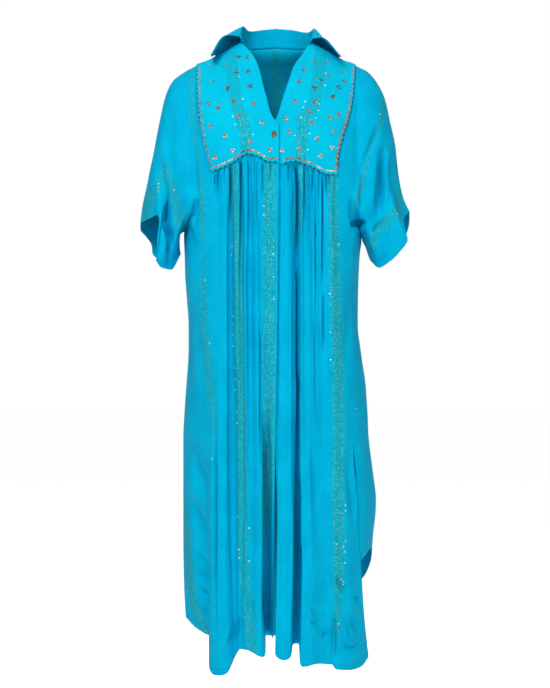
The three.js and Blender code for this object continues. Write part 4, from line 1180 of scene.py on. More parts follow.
@dataclass(frozen=True)
class VoileCrepe:
    """Viscose crepe, plain woven from twisted yarn and dyed, with lengthwise lurex bands.

    The twisted yarn gives a pebbled, soft surface with little shine, and the flat metallic yarn of the
    bands gives a greener, speckled stripe that glitters. Its glints and the shade in the hollows of its
    weave are partly painted into the colour.
    """

    name: str = "viscose_crepe_with_lurex_bands"
    ground: str = "#02B8E0"
    deep: str = "#01A9D2"
    band_ground: str = "#02A2B8"
    band_dark: str = "#047E92"
    band_light: str = "#34BCAE"
    glint: str = "#90D2B8"
    speck_mm: float = 1.5
    edge_mm: float = 4.5
    pebble_mm: float = 1.5
    rumple_mm: float = 24.0
    stitch_from_edge: float = 11.0

    def material(self) -> bpy.types.Material:
        """Builds the shader tree.

        Returns:
            The material.
        """
        material, tree = new_material(self.name)
        place = add_node(tree, "ShaderNodeTexCoord")
        band = add_node(tree, "ShaderNodeAttribute", attribute_name="band")
        band = add_node(tree, "ShaderNodeSeparateXYZ", {0: band.outputs["Vector"]})
        edge = add_node(tree, "ShaderNodeAttribute", attribute_name="edge")
        objects = place.outputs["Object"]
        cloth = place.outputs["UV"]

        def math_node(operation: str, *values: Any) -> bpy.types.NodeSocket:
            """Returns the output of one sum."""
            return add_node(tree, "ShaderNodeMath", dict(enumerate(values)), operation=operation).outputs[0]

        def ramp(value: Any, start: float, end: float) -> bpy.types.NodeSocket:
            """Returns a soft step from 0 at start to 1 at end."""
            inputs = {"Value": value, "From Min": start, "From Max": end}
            node = add_node(tree, "ShaderNodeMapRange", inputs, interpolation_type="SMOOTHSTEP")
            return node.outputs["Result"]

        def noise(
            vector: Any, size_mm: float, detail: float = 2.0, flat: bool = False
        ) -> bpy.types.NodeSocket:
            """Returns a noise whose patches are about the given size."""
            inputs = {"Vector": vector, "Scale": 1 / (size_mm * MM), "Detail": detail, "Roughness": 0.55}
            node = add_node(tree, "ShaderNodeTexNoise", inputs, noise_dimensions="2D" if flat else "3D")
            return node.outputs["Fac"]

        def stretched(vector: Any, scale: tuple[float, float, float]) -> bpy.types.NodeSocket:
            """Returns the places with each axis scaled."""
            return add_node(tree, "ShaderNodeMapping", {"Vector": vector, "Scale": scale}).outputs[0]

        # The lurex yarns are about 0.3 mm wide. Their specks are drawn five times coarser here.
        cells = add_node(tree, "ShaderNodeTexVoronoi", {
            "Vector": cloth, "Scale": 1 / (self.speck_mm * MM),
        }, voronoi_dimensions="2D", feature="F1")
        chance = add_node(tree, "ShaderNodeSeparateColor", {0: cells.outputs["Color"]})
        scatter = math_node("MULTIPLY", math_node("SUBTRACT", chance.outputs["Green"], 0.5), self.edge_mm)
        outside = math_node("ADD", band.outputs["X"], scatter)
        inside = math_node("MULTIPLY", ramp(outside, 0.8, -0.8), band.outputs["Y"])
        patch = ramp(noise(stretched(cloth, (1.0, 0.35, 1.0)), 40, flat=True), 0.2, 0.7)
        speck = math_node("MULTIPLY", ramp(chance.outputs["Red"], 0.35, 0.9), inside)
        speck = math_node("MULTIPLY", speck, math_node("ADD", math_node("MULTIPLY", patch, 0.4), 0.6))
        # Dark specks where the band glitters: painted shade in the hollows of the weave.
        hollow = math_node("MULTIPLY", ramp(chance.outputs["Red"], 0.3, 0.05), band.outputs["Z"])
        hollow = math_node("MULTIPLY", hollow, inside)
        # Light specks where the band glitters: painted glints, with some real metallic shine and less
        # roughness.
        spark = math_node("MULTIPLY", ramp(chance.outputs["Blue"], 0.84, 0.98), band.outputs["Z"])
        spark = math_node("MULTIPLY", spark, inside)

        cloud = noise(objects, 60, 3.0)
        slub = noise(stretched(cloth, (1.0, 0.06, 1.0)), 3, flat=True)
        tone = math_node("ADD", math_node("MULTIPLY", cloud, 0.6), math_node("MULTIPLY", slub, 0.4))
        colour = mix_colours(tree, ramp(tone, 0.3, 0.7), linear(self.deep), linear(self.ground))
        colour = mix_colours(tree, math_node("MULTIPLY", inside, 0.8), colour, linear(self.band_ground))
        colour = mix_colours(tree, math_node("MULTIPLY", hollow, 0.7), colour, linear(self.band_dark))
        colour = mix_colours(tree, math_node("MULTIPLY", speck, 0.55), colour, linear(self.band_light))
        colour = mix_colours(tree, math_node("MULTIPLY", spark, 0.55), colour, linear(self.glint))

        stitches = math_node("ABSOLUTE", math_node("SUBTRACT", edge.outputs["Fac"], self.stitch_from_edge))
        rumple = noise(stretched(objects, (1.0, 1.0, 0.4)), self.rumple_mm, 3.0)
        low = add_node(tree, "ShaderNodeBump", {"Strength": 0.6, "Distance": 3.0 * MM, "Height": rumple})
        line = add_node(tree, "ShaderNodeBump", {
            "Strength": 0.7, "Distance": 0.8 * MM, "Height": ramp(stitches, 0.4, 1.8),
            "Normal": low.outputs[0],
        })
        fine = add_node(tree, "ShaderNodeBump", {
            "Strength": 0.3, "Distance": 0.3 * MM, "Height": noise(objects, self.pebble_mm, 1.0),
            "Normal": line.outputs[0],
        })
        add_surface(tree, {
            "Base Color": colour,
            "Roughness": math_node("SUBTRACT", 0.7, math_node("MULTIPLY", spark, 0.25)),
            "Metallic": math_node("MULTIPLY", spark, 0.2),
            "Specular IOR Level": 0.12,
            "Specular Tint": linear("#00C8FF"),
            "Sheen Weight": 0.04,
            "Sheen Roughness": 0.4,
            "Sheen Tint": linear("#009CD0"),
            "Normal": fine.outputs[0],
        })
        return material


@dataclass(frozen=True)
class Sequin:
    """Pressed polyester film with a vapour-coated metal face, cut into small cups.

    The coating gives a clear metallic tint, and the tilt of each cup makes one glint while the next
    stays dull. Glints are also painted: the light end of each sequin's colour is partly a painted highlight.
    """

    name: str
    dark: str
    middle: str
    light: str
    roughness: float = 0.34

    def material(self) -> bpy.types.Material:
        """Builds the shader tree, in which each sequin's own shade picks its colour, towards a light end
        that is partly a painted highlight.

        Returns:
            The material.
        """
        material, tree = new_material(self.name)
        shade = add_node(tree, "ShaderNodeAttribute", attribute_name="shade").outputs["Fac"]
        low = add_node(tree, "ShaderNodeMapRange", {"Value": shade, "From Max": 0.5}).outputs["Result"]
        high = add_node(tree, "ShaderNodeMapRange", {"Value": shade, "From Min": 0.5}).outputs["Result"]
        warm = mix_colours(tree, low, linear(self.dark), linear(self.middle))
        # The light end is partly the film's own colour and partly a painted highlight.
        colour = mix_colours(tree, high, warm, linear(self.light))
        add_surface(tree, {"Base Color": colour, "Metallic": 0.35, "Roughness": self.roughness})
        return material


@dataclass(frozen=True)
class CottonThread:
    """Six-strand embroidery cotton, mercerised, which is matt with a soft twist of light."""

    name: str = "embroidery_cotton_navy"
    colour: str = "#021C3A"
    twist_mm: float = 0.8

    def material(self) -> bpy.types.Material:
        """Builds the shader tree.

        Returns:
            The material.
        """
        material, tree = new_material(self.name)
        place = add_node(tree, "ShaderNodeTexCoord")
        twist = add_node(tree, "ShaderNodeTexNoise", {
            "Vector": place.outputs["Object"], "Scale": 1 / (self.twist_mm * MM), "Detail": 1.0,
        })
        bump = add_node(tree, "ShaderNodeBump", {
            "Strength": 0.5, "Distance": 0.2 * MM, "Height": twist.outputs["Fac"],
        })
        add_surface(tree, {
            "Base Color": linear(self.colour), "Roughness": 0.7, "Normal": bump.outputs[0],
        })
        return material


@dataclass(frozen=True)
class PolishedWood:
    """Turned and oiled hardwood, a button blank cut across the grain.

    The oil gives a low gloss, and the rim and the middle are drawn darker than the face.
    """

    name: str = "oiled_hardwood"
    face: str = "#B4622E"
    grain: str = "#8A4520"
    rim: str = "#3A1A0C"
    ring_mm: float = 1.6

    def material(self) -> bpy.types.Material:
        """Builds the shader tree.

        Returns:
            The material.
        """
        material, tree = new_material(self.name)
        place = add_node(tree, "ShaderNodeTexCoord")
        grain = add_node(tree, "ShaderNodeTexNoise", {
            "Vector": place.outputs["Object"], "Scale": 1 / (self.ring_mm * MM), "Detail": 2.0,
        })
        wood = mix_colours(tree, grain.outputs["Fac"], linear(self.grain), linear(self.face))
        ring = add_node(tree, "ShaderNodeAttribute", attribute_name="ring").outputs["Fac"]
        # Darker at the outer rim and in the middle of the dish.
        outer = add_node(tree, "ShaderNodeMapRange", {"Value": ring, "From Min": 0.56, "From Max": 0.76})
        inner = add_node(tree, "ShaderNodeMapRange", {"Value": ring, "From Min": 0.34, "From Max": 0.18})
        dark = add_node(
            tree, "ShaderNodeMath", {0: outer.outputs[0], 1: inner.outputs[0]}, operation="MAXIMUM"
        )
        colour = mix_colours(tree, dark.outputs[0], wood, linear(self.rim))
        add_surface(tree, {
            "Base Color": colour, "Roughness": 0.4, "Coat Weight": 0.25, "Coat Roughness": 0.25,
        })
        return material


class Panel:
    """One cut piece of crepe, as a thin shell on a smooth grid of points."""

    def __init__(
        self, name: str, points: Array, facing: tuple[float, float, float], lift: float = 0.0
    ) -> None:
        """Keeps the grid and sinks its creases.

        Args:
            name: the node that the piece stands for.
            points: grid of points on the outer face, in millimetres.
            facing: the side that the piece faces.
            lift: how far the piece lies off those points.
        """
        self.name = name
        self.points = points
        self.facing = np.array(facing, float)
        self.edge = np.full(points.shape[:2], FAR)
        self.offsets = np.zeros(points.shape[:2])
        for crease in creases_of(name):
            move = crease.offset(np.nan_to_num(points[..., 0]), np.nan_to_num(points[..., 2]))
            self.offsets += move * self.loose()
        self.normals = self.work_out_normals()
        self.points = self.points + self.normals * (self.offsets + lift)[..., None]

    def loose(self) -> Array:
        """Returns how free the cloth is to crease at each point, 0 at seams and edges."""
        ends = np.minimum(run_length(self.points, 1, True), run_length(self.points, 1, False))
        return smooth(0, SEAM_HOLD, ends)

    def mark_edges(self, cuff: Array, underarm_z: float) -> None:
        """Notes how far each point lies from the hem, or on a sleeve from its cuff.

        Args:
            cuff: the length from each point to the cuff.
            underarm_z: the height above which the sleeves lie.
        """
        hem = run_length(self.points, 0, True)
        arm = self.points[..., 2] > underarm_z
        beyond = np.abs(self.points[..., 0]) > SLEEVE_FROM
        self.edge = np.where(arm & beyond, cuff, np.where(arm, FAR, hem))

    def work_out_normals(self) -> Array:
        """Works out the outward normal at each point of the grid.

        Returns:
            Unit normals on the side that the piece faces.
        """
        down = self.differences(0)
        over = self.differences(1)
        normals = np.cross(down, over)
        size = np.linalg.norm(normals, axis=2, keepdims=True)
        normals = np.nan_to_num(normals / np.maximum(size, 1e-9))
        if np.nansum(normals @ self.facing) < 0:
            normals = -normals
        return normals

    def differences(self, axis: int) -> Array:
        """Works out the direction along rows or columns, with one-sided steps at edges.

        Args:
            axis: 0 down the columns and 1 along the rows.

        Returns:
            A direction at each point.
        """
        step = np.diff(self.points, axis=axis)
        pad = np.full_like(np.take(step, [0], axis), np.nan)
        before = np.concatenate([pad, step], axis)
        after = np.concatenate([step, pad], axis)
        both = before + after
        return np.where(np.isnan(both), np.where(np.isnan(before), after, before), both)

    def build(self, material: bpy.types.Material) -> bpy.types.Object:
        """Makes the mesh from a grid, moves each vertex to its place and gives it a thickness.

        Args:
            material: the cloth.

        Returns:
            The finished object.
        """
        rows, columns = self.points.shape[:2]
        bm = bmesh.new()
        bmesh.ops.create_grid(bm, x_segments=columns - 1, y_segments=rows - 1, size=0.5)
        uv = bm.loops.layers.uv.new("cloth")
        band_layer = bm.verts.layers.float_vector.new("band")
        edge_layer = bm.verts.layers.float.new("edge")
        across = run_length(self.points, 1, False) * MM
        down = run_length(self.points, 0, False) * MM
        band = band_marks(self.name, np.nan_to_num(self.points[..., 0]), np.nan_to_num(self.points[..., 2]))
        grid = {}
        empty = []
        for vert in bm.verts:
            column = round((vert.co.x + 0.5) * (columns - 1))
            row = round((0.5 - vert.co.y) * (rows - 1))
            grid[vert] = (row, column)
            if np.isnan(self.points[row, column, 0]):
                empty.append(vert)
            else:
                vert.co = Vector(self.points[row, column] * MM)
                vert[band_layer] = Vector(band[row, column])
                vert[edge_layer] = self.edge[row, column]
        for face in bm.faces:
            for loop in face.loops:
                at = grid[loop.vert]
                loop[uv].uv = (across[at], down[at])
        bmesh.ops.delete(bm, geom=empty, context="VERTS")
        bm.normal_update()
        facing = Vector(self.facing)
        if sum(face.normal.dot(facing) * face.calc_area() for face in bm.faces) < 0:
            bmesh.ops.reverse_faces(bm, faces=bm.faces[:])
        piece = finish_mesh(bm, f"{self.name}_cloth", material)
        shell = piece.modifiers.new("cloth", "SOLIDIFY")
        shell.thickness = CLOTH * MM
        shell.offset = -1
        return piece

    def at(self, x: float, z: float) -> tuple[Vector, Vector]:
        """Finds the place on the outer face seen from the front or back.

        Args:
            x: place across.
            z: height.

        Returns:
            The point and its normal, in millimetres.
        """
        away = np.hypot(self.points[..., 0] - x, self.points[..., 2] - z)
        row, column = np.unravel_index(np.nanargmin(away), away.shape)
        return Vector(self.points[row, column]), Vector(self.normals[row, column])


def finish_mesh(bm: bmesh.types.BMesh, name: str, *materials: bpy.types.Material) -> bpy.types.Object:
    """Turns a bmesh into a smooth-shaded object at the origin.

    Args:
        bm: the mesh, which is freed.
        name: the object's name.
        materials: its materials, in the order of its slots.

    Returns:
        The object.
    """
    for face in bm.faces:
        face.smooth = True
    mesh = bpy.data.meshes.new(name)
    bm.to_mesh(mesh)
    bm.free()
    for material in materials:
        mesh.materials.append(material)
    piece = bpy.data.objects.new(name, mesh)
    bpy.context.scene.collection.objects.link(piece)
    return piece


@dataclass
class Fronts:
    """The two halves of the front, gathered under the bib, each with its half sleeves."""

    crepe: bpy.types.Material
    panels: dict[str, Panel] = field(default_factory=dict)

    def build(self) -> list[bpy.types.Object]:
        """Builds both halves.

        Returns:
            The two pieces.
        """
        pieces = []
        for name, half in (("front_left", LEFT), ("front_right", RIGHT)):
            control = front_control(half)
            cells = np.where(np.arange(control.shape[1] - 1) < half.bib_column, GATHER_CELL, SIDE_CELL)
            points = refine(control, ROW_CELL, cells)
            panel = Panel(name, points, (0, -1, 0))
            panel.mark_edges(run_length(panel.points, 1, True), half.underarm_z)
            self.panels[name] = panel
            pieces.append(panel.build(self.crepe))
        return pieces


@dataclass
class Back:
    """The back, cut in one with the back halves of both sleeves."""

    crepe: bpy.types.Material

    def build(self) -> bpy.types.Object:
        """Builds the back.

        Returns:
            The piece.
        """
        points = refine(back_control(), ROW_CELL, BACK_CELL)
        panel = Panel("back", points, (0, 1, 0))
        cuffs = np.minimum(run_length(panel.points, 1, True), run_length(panel.points, 1, False))
        panel.mark_edges(cuffs, LEFT.underarm_z)
        return panel.build(self.crepe)


@dataclass
class Bib:
    """The two halves of the yoke in front."""

    crepe: bpy.types.Material
    panels: dict[str, Panel] = field(default_factory=dict)

    def build(self) -> list[bpy.types.Object]:
        """Builds both halves.

        Returns:
            The two pieces.
        """
        pieces = []
        for name, half in (("bib_left", LEFT), ("bib_right", RIGHT)):
            panel = Panel(name, bib_control(half), (0, -1, 0), WALL + LAP_GAP)
            self.panels[name] = panel
            pieces.append(panel.build(self.crepe))
        return pieces


@dataclass
class Collar:
    """The spread collar, which stands at the nape and lies open in front."""

    crepe: bpy.types.Material

    def build(self) -> bpy.types.Object:
        """Builds the collar.

        Returns:
            The piece.
        """
        return Panel("collar", collar_control(), (0, 0, -1)).build(self.crepe)


TREFOILS = {
    "bib_left": [
        (-130, -33), (-104, -38), (-76, -23), (-58, -25), (-80, -51), (-56, -51), (-128, -71),
        (-52, -81), (-98, -85), (-136, -113), (-116, -123), (-84, -111), (-44, -115), (-74, -141),
        (-132, -161), (-28, -156), (-102, -179), (-52, -193), (-86, -209), (-12, -208), (-122, -222),
    ],
    "bib_right": [
        (78, -35), (104, -33), (56, -48), (134, -48), (106, -57), (88, -69), (138, -69), (46, -72),
        (78, -85), (126, -81), (114, -101), (38, -113), (78, -112), (66, -131), (108, -143),
        (125, -137), (20, -149), (72, -157), (116, -171), (26, -173), (82, -185), (112, -202),
        (46, -206), (88, -220), (12, -210),
    ],
}
# The flowers were first read too low near the shoulder. This says how far each height is raised.
TREFOIL_LIFT = Table("z lift", [
    [-230, 0], [-179, 0], [-161, 3.4], [-141, 2], [-111, 3], [-85, 4], [-71, 5], [-51, 5], [-38, 9],
    [-20, 10],
])
# Silver sequins read as pixels across and down the photo, with how far each lies from the middle plane.
SILVER_SEEN = {
    "bib_left": [
        (238.4, 76, -100), (242.8, 99, -100), (232.7, 115, -118), (234.3, 123.6, -118),
        (252.7, 134.5, -118), (252.7, 149, -118),
    ],
    "bib_right": [
        (326.9, 70.7, -100), (325, 83.6, -100), (305.7, 101.5, -100), (303.3, 109, -100),
        (319.6, 103.6, -100), (317.6, 110, -118), (301.2, 117.3, -118), (316, 117.3, -118),
        (309.9, 134.5, -118), (294.9, 136.6, -118), (308.7, 149, -118),
    ],
    "front_left": [
        (187.5, 300, -110), (274.2, 300, -120),
    ],
    "front_right": [
        (344.4, 551, -80), (344.4, 561, -80), (343, 581, -75), (340.4, 577, -75), (344.7, 540, -80),
        (336, 542, -80), (342, 544.4, -80), (338, 621.4, -70),
    ],
}
# Silver sequins read in millimetres.
SILVER = {
    "front_left": [
        (-88, -397), (-88, -417), (-87, -536), (-86, -556), (-86, -576), (-85, -600), (-82, -642),
        (-81, -666), (-80, -688), (-78, -731), (-78, -751), (-128, -821), (-76, -936), (-54, -960),
        (-74, -1002), (-73, -1020), (-53, -1022), (-5, -415), (-5, -461), (-24, -321), (-24, -339),
        (-142, -467), (-134, -592), (-238, -271), (-238, -277), (-204, -283), (-174, -364),
    ],
    "front_right": [
        (107, -496), (109, -570), (109, -628), (125, -393), (162, -723), (139, -819), (139, -914),
        (139, -926), (138, -986), (137, -1008), (137, -1028), (135, -1068), (211, -131), (172, -360),
        (245, -331),
    ],
}


class Work(Enum):
    """The kinds of sewn-on work."""

    COPPER = "copper_sequins"
    SILVER = "silver_sequins"
    STITCH = "edge_stitches"


@dataclass(frozen=True)
class Trim:
    """Sizes of the work along the edges of the bib, in millimetres."""

    foot_in: float = 8.2
    foot_spacing: float = 4.4
    foot_radius: float = 2.0
    side_spacing: float = 4.2
    side_radius: float = 1.5
    side_rows: tuple[float, ...] = (0.0, 2.6)
    petals: int = 3
    petal_out: float = 3.1
    petal_radius: float = 2.5
    silver_radius: float = 1.7
    stitch_spacing: float = 10.0
    stitch_length: float = 6.6
    stitch_width: float = 2.6
    stitch_foot_in: float = 0.8
    lift: float = 0.7
    sequin_deep: float = 0.5
    cup: float = 0.55
    tilt: float = 0.15
    corner_in: float = 4.0


TRIM = Trim()
FOOT_END = {-1: 6.0, 1: 16.0}
PATH_TOP = -24.0
PATH_POINTS = 400
# How light the flowers are by height: copper above, gold lower down and lightest at the bottom, where
# painted glints are more common.
TREFOIL_TONE_AND_GLINT = Table("z shade", [[-215, 0.62], [-150, 0.42], [-90, 0.14]])
SIDE_WORK = {
    "bib_left": Table("z chain dash", [[-24, 7.4, 1.6], [-110, 6.6, 1], [-150, 5.4, 0.6], [-235, 4, 0.6]]),
    "bib_right": Table("z chain dash", [[-24, 4.8, -0.4], [-235, 4.8, -0.4]]),
}
STITCH_LOW = {"bib_left": -150.0, "bib_right": -235.0}
# Painted glints: how light the sequins of the foot lines are across the bib, lightest where they catch the
# light.
PAINTED_FOOT_GLINTS = Table("x shade", [
    [-170, 0.5], [-125, 0.6], [-107, 0.95], [-90, 0.95], [-75, 0.55], [-48, 0.5], [-36, 0.85], [-28, 0.85],
    [-15, 0.5], [40, 0.45], [70, 0.6], [84, 0.95], [112, 0.95], [125, 0.6], [170, 0.5],
])


def spaced(path: Array, spacing: float) -> Array:
    """Finds points an even distance apart along a path.

    Args:
        path: points across and up.
        spacing: the distance wanted.

    Returns:
        The points.
    """
    total = np.concatenate([[0], np.cumsum(np.hypot(*np.diff(path, axis=0).T))])
    at = np.arange(spacing / 2, total[-1], spacing)
    return np.stack([np.interp(at, total, path[:, 0]), np.interp(at, total, path[:, 1])], 1)


@dataclass
class Embroidery:
    """Sequins and edge stitches on the bib, and loose sequins along the bands."""

    bib: Bib
    fronts: Fronts
    materials: dict[Work, bpy.types.Material]
    seed: int = 7
    meshes: dict[Work, bmesh.types.BMesh] = field(default_factory=dict)

    def build(self) -> list[bpy.types.Object]:
        """Builds all the sewn-on work.

        Returns:
            One piece for each kind of work.
        """
        rng = np.random.default_rng(self.seed)
        self.meshes = {work: bmesh.new() for work in Work}
        for name, half in (("bib_left", LEFT), ("bib_right", RIGHT)):
            self.sew_foot(half, rng)
            self.sew_side(name, half, rng)
            self.sew_trefoils(name, rng)
        for name, seen in SILVER_SEEN.items():
            panel = self.bib.panels.get(name) or self.fronts.panels[name]
            for x, z in [from_photo(*place) for place in seen] + SILVER.get(name, []):
                # Silver sequins get a random lightness; the lightest are painted glints.
                self.add_sequin(Work.SILVER, panel.at(x, z), TRIM.silver_radius, rng.uniform(0.3, 1), rng)
        return [finish_mesh(self.meshes[work], work.value, self.materials[work]) for work in Work]

    def sew_foot(self, half: Half, rng: np.random.Generator) -> None:
        """Sews a line of sequins and a line of stitches above the foot of one half.

        Args:
            half: the sizes of that side.
            rng: the source of small differences.
        """
        for x, z in spaced(self.foot_path(half, TRIM.foot_in), TRIM.foot_spacing):
            # Each foot sequin's lightness comes from the painted glints, with a random spread.
            shade = float(np.clip(PAINTED_FOOT_GLINTS.curve("x", "shade")(x) + rng.normal(-0.1, 0.26), 0, 1))
            self.add_sequin(Work.COPPER, self.on_bib(x, z), TRIM.foot_radius, shade, rng)
        self.add_stitches(self.foot_path(half, TRIM.stitch_foot_in))

    def sew_side(self, name: str, half: Half, rng: np.random.Generator) -> None:
        """Sews a double chain of small sequins and a line of stitches along the outer side of one half.

        Args:
            name: the panel.
            half: the sizes of that side.
            rng: the source of small differences.
        """
        for step in TRIM.side_rows:
            path = self.side_path(half, SIDE_WORK[name], "chain", half.corner_z + TRIM.foot_in)
            path = path + np.array([half.sign * step, 0])
            for x, z in spaced(path, TRIM.side_spacing):
                shade = float(np.clip(rng.normal(0.34, 0.16), 0, 1))
                self.add_sequin(Work.COPPER, self.on_bib(x, z), TRIM.side_radius, shade, rng)
        low = max(STITCH_LOW[name], half.corner_z)
        self.add_stitches(self.side_path(half, SIDE_WORK[name], "dash", low))

    def sew_trefoils(self, name: str, rng: np.random.Generator) -> None:
        """Sews the scattered flowers of three sequins, which turn from copper to gold lower down, with more
        painted glints there.

        Args:
            name: the panel.
            rng: the source of small differences.
        """
        for x, read_z in TREFOILS[name]:
            z = round(read_z + float(np.interp(read_z, TREFOIL_LIFT["z"], TREFOIL_LIFT["lift"])))
            spin = rng.uniform(0, 2)
            warm = float(np.interp(z, TREFOIL_TONE_AND_GLINT["z"], TREFOIL_TONE_AND_GLINT["shade"]))
            for petal in range(TRIM.petals):
                angle = spin + petal * 2 * math.pi / TRIM.petals
                at = self.on_bib(x + TRIM.petal_out * math.cos(angle), z + TRIM.petal_out * math.sin(angle))
                shade = float(np.clip(rng.normal(warm, 0.14), 0, 1))
                self.add_sequin(Work.COPPER, at, TRIM.petal_radius, shade, rng)

    def foot_path(self, half: Half, inward: float) -> Array:
        """Finds a line above the foot of the bib.

        Args:
            half: the sizes of that side.
            inward: how far above the edge the line runs.

        Returns:
            Points across and up.
        """
        corner = half.sign * (np.max(half.sign * half.bib_foot["x"]) - TRIM.corner_in)
        x = np.linspace(corner, FOOT_END[half.sign], PATH_POINTS)
        return np.stack([x, half.bib_foot.curve("x", "z")(x) + inward], 1)

    def side_path(self, half: Half, work: Table, line: str, low: float) -> Array:
        """Finds a line inside the outer side of the bib.

        Args:
            half: the sizes of that side.
            work: how far inside the edge each line runs.
            line: which of its lines is wanted.
            low: the height of its lower end.

        Returns:
            Points across and up.
        """
        z = np.linspace(PATH_TOP, low, PATH_POINTS)
        return np.stack([half.bib_edge.curve("z", "x")(z) - half.sign * work.curve("z", line)(z), z], 1)

    def on_bib(self, x: float, z: float) -> tuple[Vector, Vector]:
        """Finds a place on the outer face of the bib.

        Args:
            x: place across.
            z: height.

        Returns:
            The point and its normal, in millimetres.
        """
        def surface(at_x: float, at_z: float) -> Vector:
            """Returns the point of the bib's face at a place."""
            return Vector((at_x, -float(BODY.depth(at_x, at_z, Face.FRONT)) - WALL - LAP_GAP, at_z))

        point = surface(x, z)
        across = surface(x + 1, z) - surface(x - 1, z)
        up = surface(x, z + 1) - surface(x, z - 1)
        return point, across.cross(up).normalized()

    def add_sequin(
        self, work: Work, at: tuple[Vector, Vector], radius: float, shade: float, rng: np.random.Generator
    ) -> None:
        """Adds one cupped sequin.

        Args:
            work: the kind that it belongs to.
            at: where its middle lies and the direction that it faces.
            radius: its radius in millimetres.
            shade: how light it is, from 0 to 1; its lightest end is a painted glint.
            rng: the source of its small tilt.
        """
        point, normal = at
        bm = self.meshes[work]
        layer = bm.verts.layers.float.get("shade") or bm.verts.layers.float.new("shade")
        turn = normal.to_track_quat("Z", "Y").to_matrix().to_4x4()
        tilt = rng.normal(0, TRIM.tilt, 2)
        lean = Matrix.Rotation(tilt[0], 4, "X") @ Matrix.Rotation(tilt[1], 4, "Y")
        centre = Matrix.Translation((point + normal * TRIM.lift) * MM)
        made = bmesh.ops.create_cone(
            bm, cap_ends=True, cap_tris=False, segments=8, radius1=radius * MM,
            radius2=radius * TRIM.cup * MM, depth=TRIM.sequin_deep * MM, matrix=centre @ turn @ lean,
        )
        for vert in made["verts"]:
            vert[layer] = shade

    def add_stitches(self, path: Array) -> None:
        """Adds running stitches along a path on the bib.

        Args:
            path: points across and up.
        """
        stops = spaced(path, TRIM.stitch_spacing)
        for (x, z), (over, up) in zip(stops, np.gradient(stops, axis=0)):
            point, normal = self.on_bib(x, z)
            along = Vector((over, 0, up))
            along = (along - normal * along.dot(normal)).normalized()
            side = normal.cross(along)
            turn = Matrix((along, side, normal)).transposed().to_4x4()
            size = Matrix.Diagonal((TRIM.stitch_length / 2, TRIM.stitch_width / 2, TRIM.stitch_width / 2, 1))
            bmesh.ops.create_uvsphere(
                self.meshes[Work.STITCH], u_segments=8, v_segments=6, radius=MM,
                matrix=Matrix.Translation(point * MM) @ turn @ size,
            )


@dataclass
class Button:
    """One oval button of turned wood at the foot of the neck opening."""

    wood: bpy.types.Material
    width: float = 9.7
    height: float = 15.0
    deep: float = 3.0
    drop: float = 3.5

    def build(self) -> bpy.types.Object:
        """Spins the button's profile, which has a raised rim round a shallow dish.

        Returns:
            The piece.
        """
        low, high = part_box("button")
        profile = [
            (0, 0), (0.42, 0), (0.5, 0.25), (0.5, 0.6), (0.46, 0.9), (0.4, 1), (0.34, 0.86), (0.18, 0.74),
            (0.1, 0.6), (0, 0.6),
        ]
        bm = bmesh.new()
        verts = [bm.verts.new((out, 0, up)) for out, up in profile]
        edges = [bm.edges.new(pair) for pair in zip(verts, verts[1:])]
        bmesh.ops.spin(
            bm, geom=verts + edges, cent=(0, 0, 0), axis=(0, 0, 1), angle=2 * math.pi, steps=32,
            use_merge=True, use_duplicate=False,
        )
        bmesh.ops.remove_doubles(bm, verts=bm.verts[:], dist=1e-5)
        bmesh.ops.recalc_face_normals(bm, faces=bm.faces[:])
        ring = bm.verts.layers.float.new("ring")
        for vert in bm.verts:
            vert[ring] = 2 * math.hypot(vert.co.x, vert.co.y)
        turn = Matrix.Rotation(math.radians(90), 4, "X")
        size = Matrix.Diagonal((self.width * MM, self.height * MM, self.deep * MM, 1))
        back = Matrix.Translation(((low.x + high.x) / 2, high.y, (low.z + high.z) / 2 - self.drop * MM))
        bmesh.ops.transform(bm, matrix=back @ turn @ size, verts=bm.verts[:])
        return finish_mesh(bm, "wooden_button", self.wood)


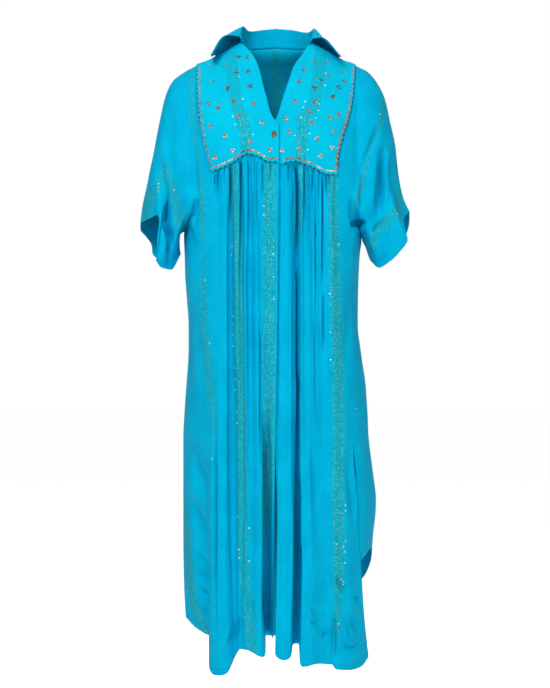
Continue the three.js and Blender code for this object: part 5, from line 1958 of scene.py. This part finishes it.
@dataclass
class Studio:
    """A plain pale floor, soft light from both sides and above, and the camera."""

    floor_z: float = -1.62
    floor_radius: float = 25.0
    aim_z: float = -0.55
    lens: float = 102.1
    sight: float = 60.0

    def build(self) -> None:
        """Adds the floor, the lights and the camera."""
        scene = bpy.context.scene
        scene.view_settings.view_transform = "Standard"
        camera = bpy.data.objects.new("camera", bpy.data.cameras.new("camera"))
        camera.data.lens = self.lens
        camera.data.clip_end = self.sight
        camera.location = (VIEW_X * MM, -VIEW_FAR * MM, VIEW_Z * MM)
        camera.rotation_euler = (math.radians(90), 0, 0)
        scene.collection.objects.link(camera)
        scene.camera = camera
        self.add_floor()
        self.add_light("key", (-1.1, -2.9, 2.2), 1.3, 91)
        self.add_light("fill", (1.6, -3.4, 0.2), 1.3, 27)
        self.add_light("top", (0.0, -0.8, 2.4), 1.2, 12)
        self.add_light("rear", (0.4, 3.0, 0.8), 2.0, 42)
        self.add_world()

    def add_floor(self) -> None:
        """Adds a wide round floor of matt white board."""
        material, tree = new_material("matt_white_board")
        path = add_node(tree, "ShaderNodeLightPath")
        glow = add_node(tree, "ShaderNodeMapRange", {
            "Value": path.outputs["Is Camera Ray"], "To Min": 0.3, "To Max": 0.8,
        })
        add_surface(tree, {
            "Base Color": linear("#F6F6F6"), "Roughness": 0.9,
            "Emission Color": linear("#FFFFFF"), "Emission Strength": glow.outputs["Result"],
        })
        bm = bmesh.new()
        bmesh.ops.create_circle(
            bm, cap_ends=True, segments=96, radius=self.floor_radius,
            matrix=Matrix.Translation((0, 0, self.floor_z)),
        )
        finish_mesh(bm, "floor", material)

    def add_light(self, name: str, place: tuple[float, float, float], size: float, power: float) -> None:
        """Adds a square soft box aimed at the middle of the garment.

        Args:
            name: the light's name.
            place: where it stands, in metres.
            size: its side in metres.
            power: its power in watts.
        """
        light = bpy.data.objects.new(name, bpy.data.lights.new(name, "AREA"))
        light.data.size = size
        light.data.energy = power
        light.location = place
        aim = Vector((0, 0, self.aim_z)) - Vector(place)
        light.rotation_euler = aim.to_track_quat("-Z", "Y").to_euler()
        bpy.context.scene.collection.objects.link(light)

    def add_world(self) -> None:
        """Adds an even white surround, full white behind the garment and softer as light."""
        world = bpy.data.worlds.new("surround")
        world.use_nodes = True
        tree = world.node_tree
        tree.nodes.clear()
        path = add_node(tree, "ShaderNodeLightPath")
        strength = add_node(tree, "ShaderNodeMapRange", {
            "Value": path.outputs["Is Camera Ray"], "To Min": 0.2, "To Max": 1.0,
        })
        white = add_node(tree, "ShaderNodeBackground", {
            "Color": linear("#FFFFFF"), "Strength": strength.outputs["Result"],
        })
        add_node(tree, "ShaderNodeOutputWorld", {"Surface": white.outputs[0]})
        bpy.context.scene.world = world


def declare(piece: bpy.types.Object, node: str) -> None:
    """Hangs a piece of cloth on the root, hides the node that it replaces and logs its faces.

    Args:
        piece: the cloth.
        node: the node that it replaces.
    """
    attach(piece, "root")
    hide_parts(node)
    LOG.info("%s: %d faces", piece.name, len(piece.data.polygons))


def main() -> None:
    """Builds the garment and its studio, and reports each piece."""
    logging.basicConfig(level=logging.INFO, format="%(name)s: %(message)s")
    crepe = VoileCrepe().material()
    sewn = {
        Work.COPPER: Sequin("sequin_film_copper", "#6A3C2C", "#D48F58", "#FFF4CC").material(),
        Work.SILVER: Sequin("sequin_film_silver", "#A8DCE4", "#DDF4F6", "#FFFFFF", 0.22).material(),
        Work.STITCH: CottonThread().material(),
    }
    fronts = Fronts(crepe)
    front_left, front_right = fronts.build()
    declare(front_left, "front_left")
    declare(front_right, "front_right")
    declare(Back(crepe).build(), "back")
    # The yoke uses a lighter copy of the crepe: painted light for the chest, which faces up into the light
    # from above. The yoke is also doubled, so less light passes through it.
    yoke = replace(VoileCrepe(), name="viscose_crepe_painted_lighter", ground="#04C4E4", deep="#03B6D8")
    bib = Bib(yoke.material())
    bib_left, bib_right = bib.build()
    declare(bib_left, "bib_left")
    declare(bib_right, "bib_right")
    declare(Collar(crepe).build(), "collar")
    for piece in Embroidery(bib, fronts, sewn).build():
        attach(piece, "root")
        LOG.info("%s: %d faces", piece.name, len(piece.data.polygons))
    button = Button(PolishedWood().material()).build()
    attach(button, "root")
    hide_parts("button")
    LOG.info("%s: %d faces", button.name, len(button.data.polygons))
    Studio().build()


if __name__ == "__main__":
    main()
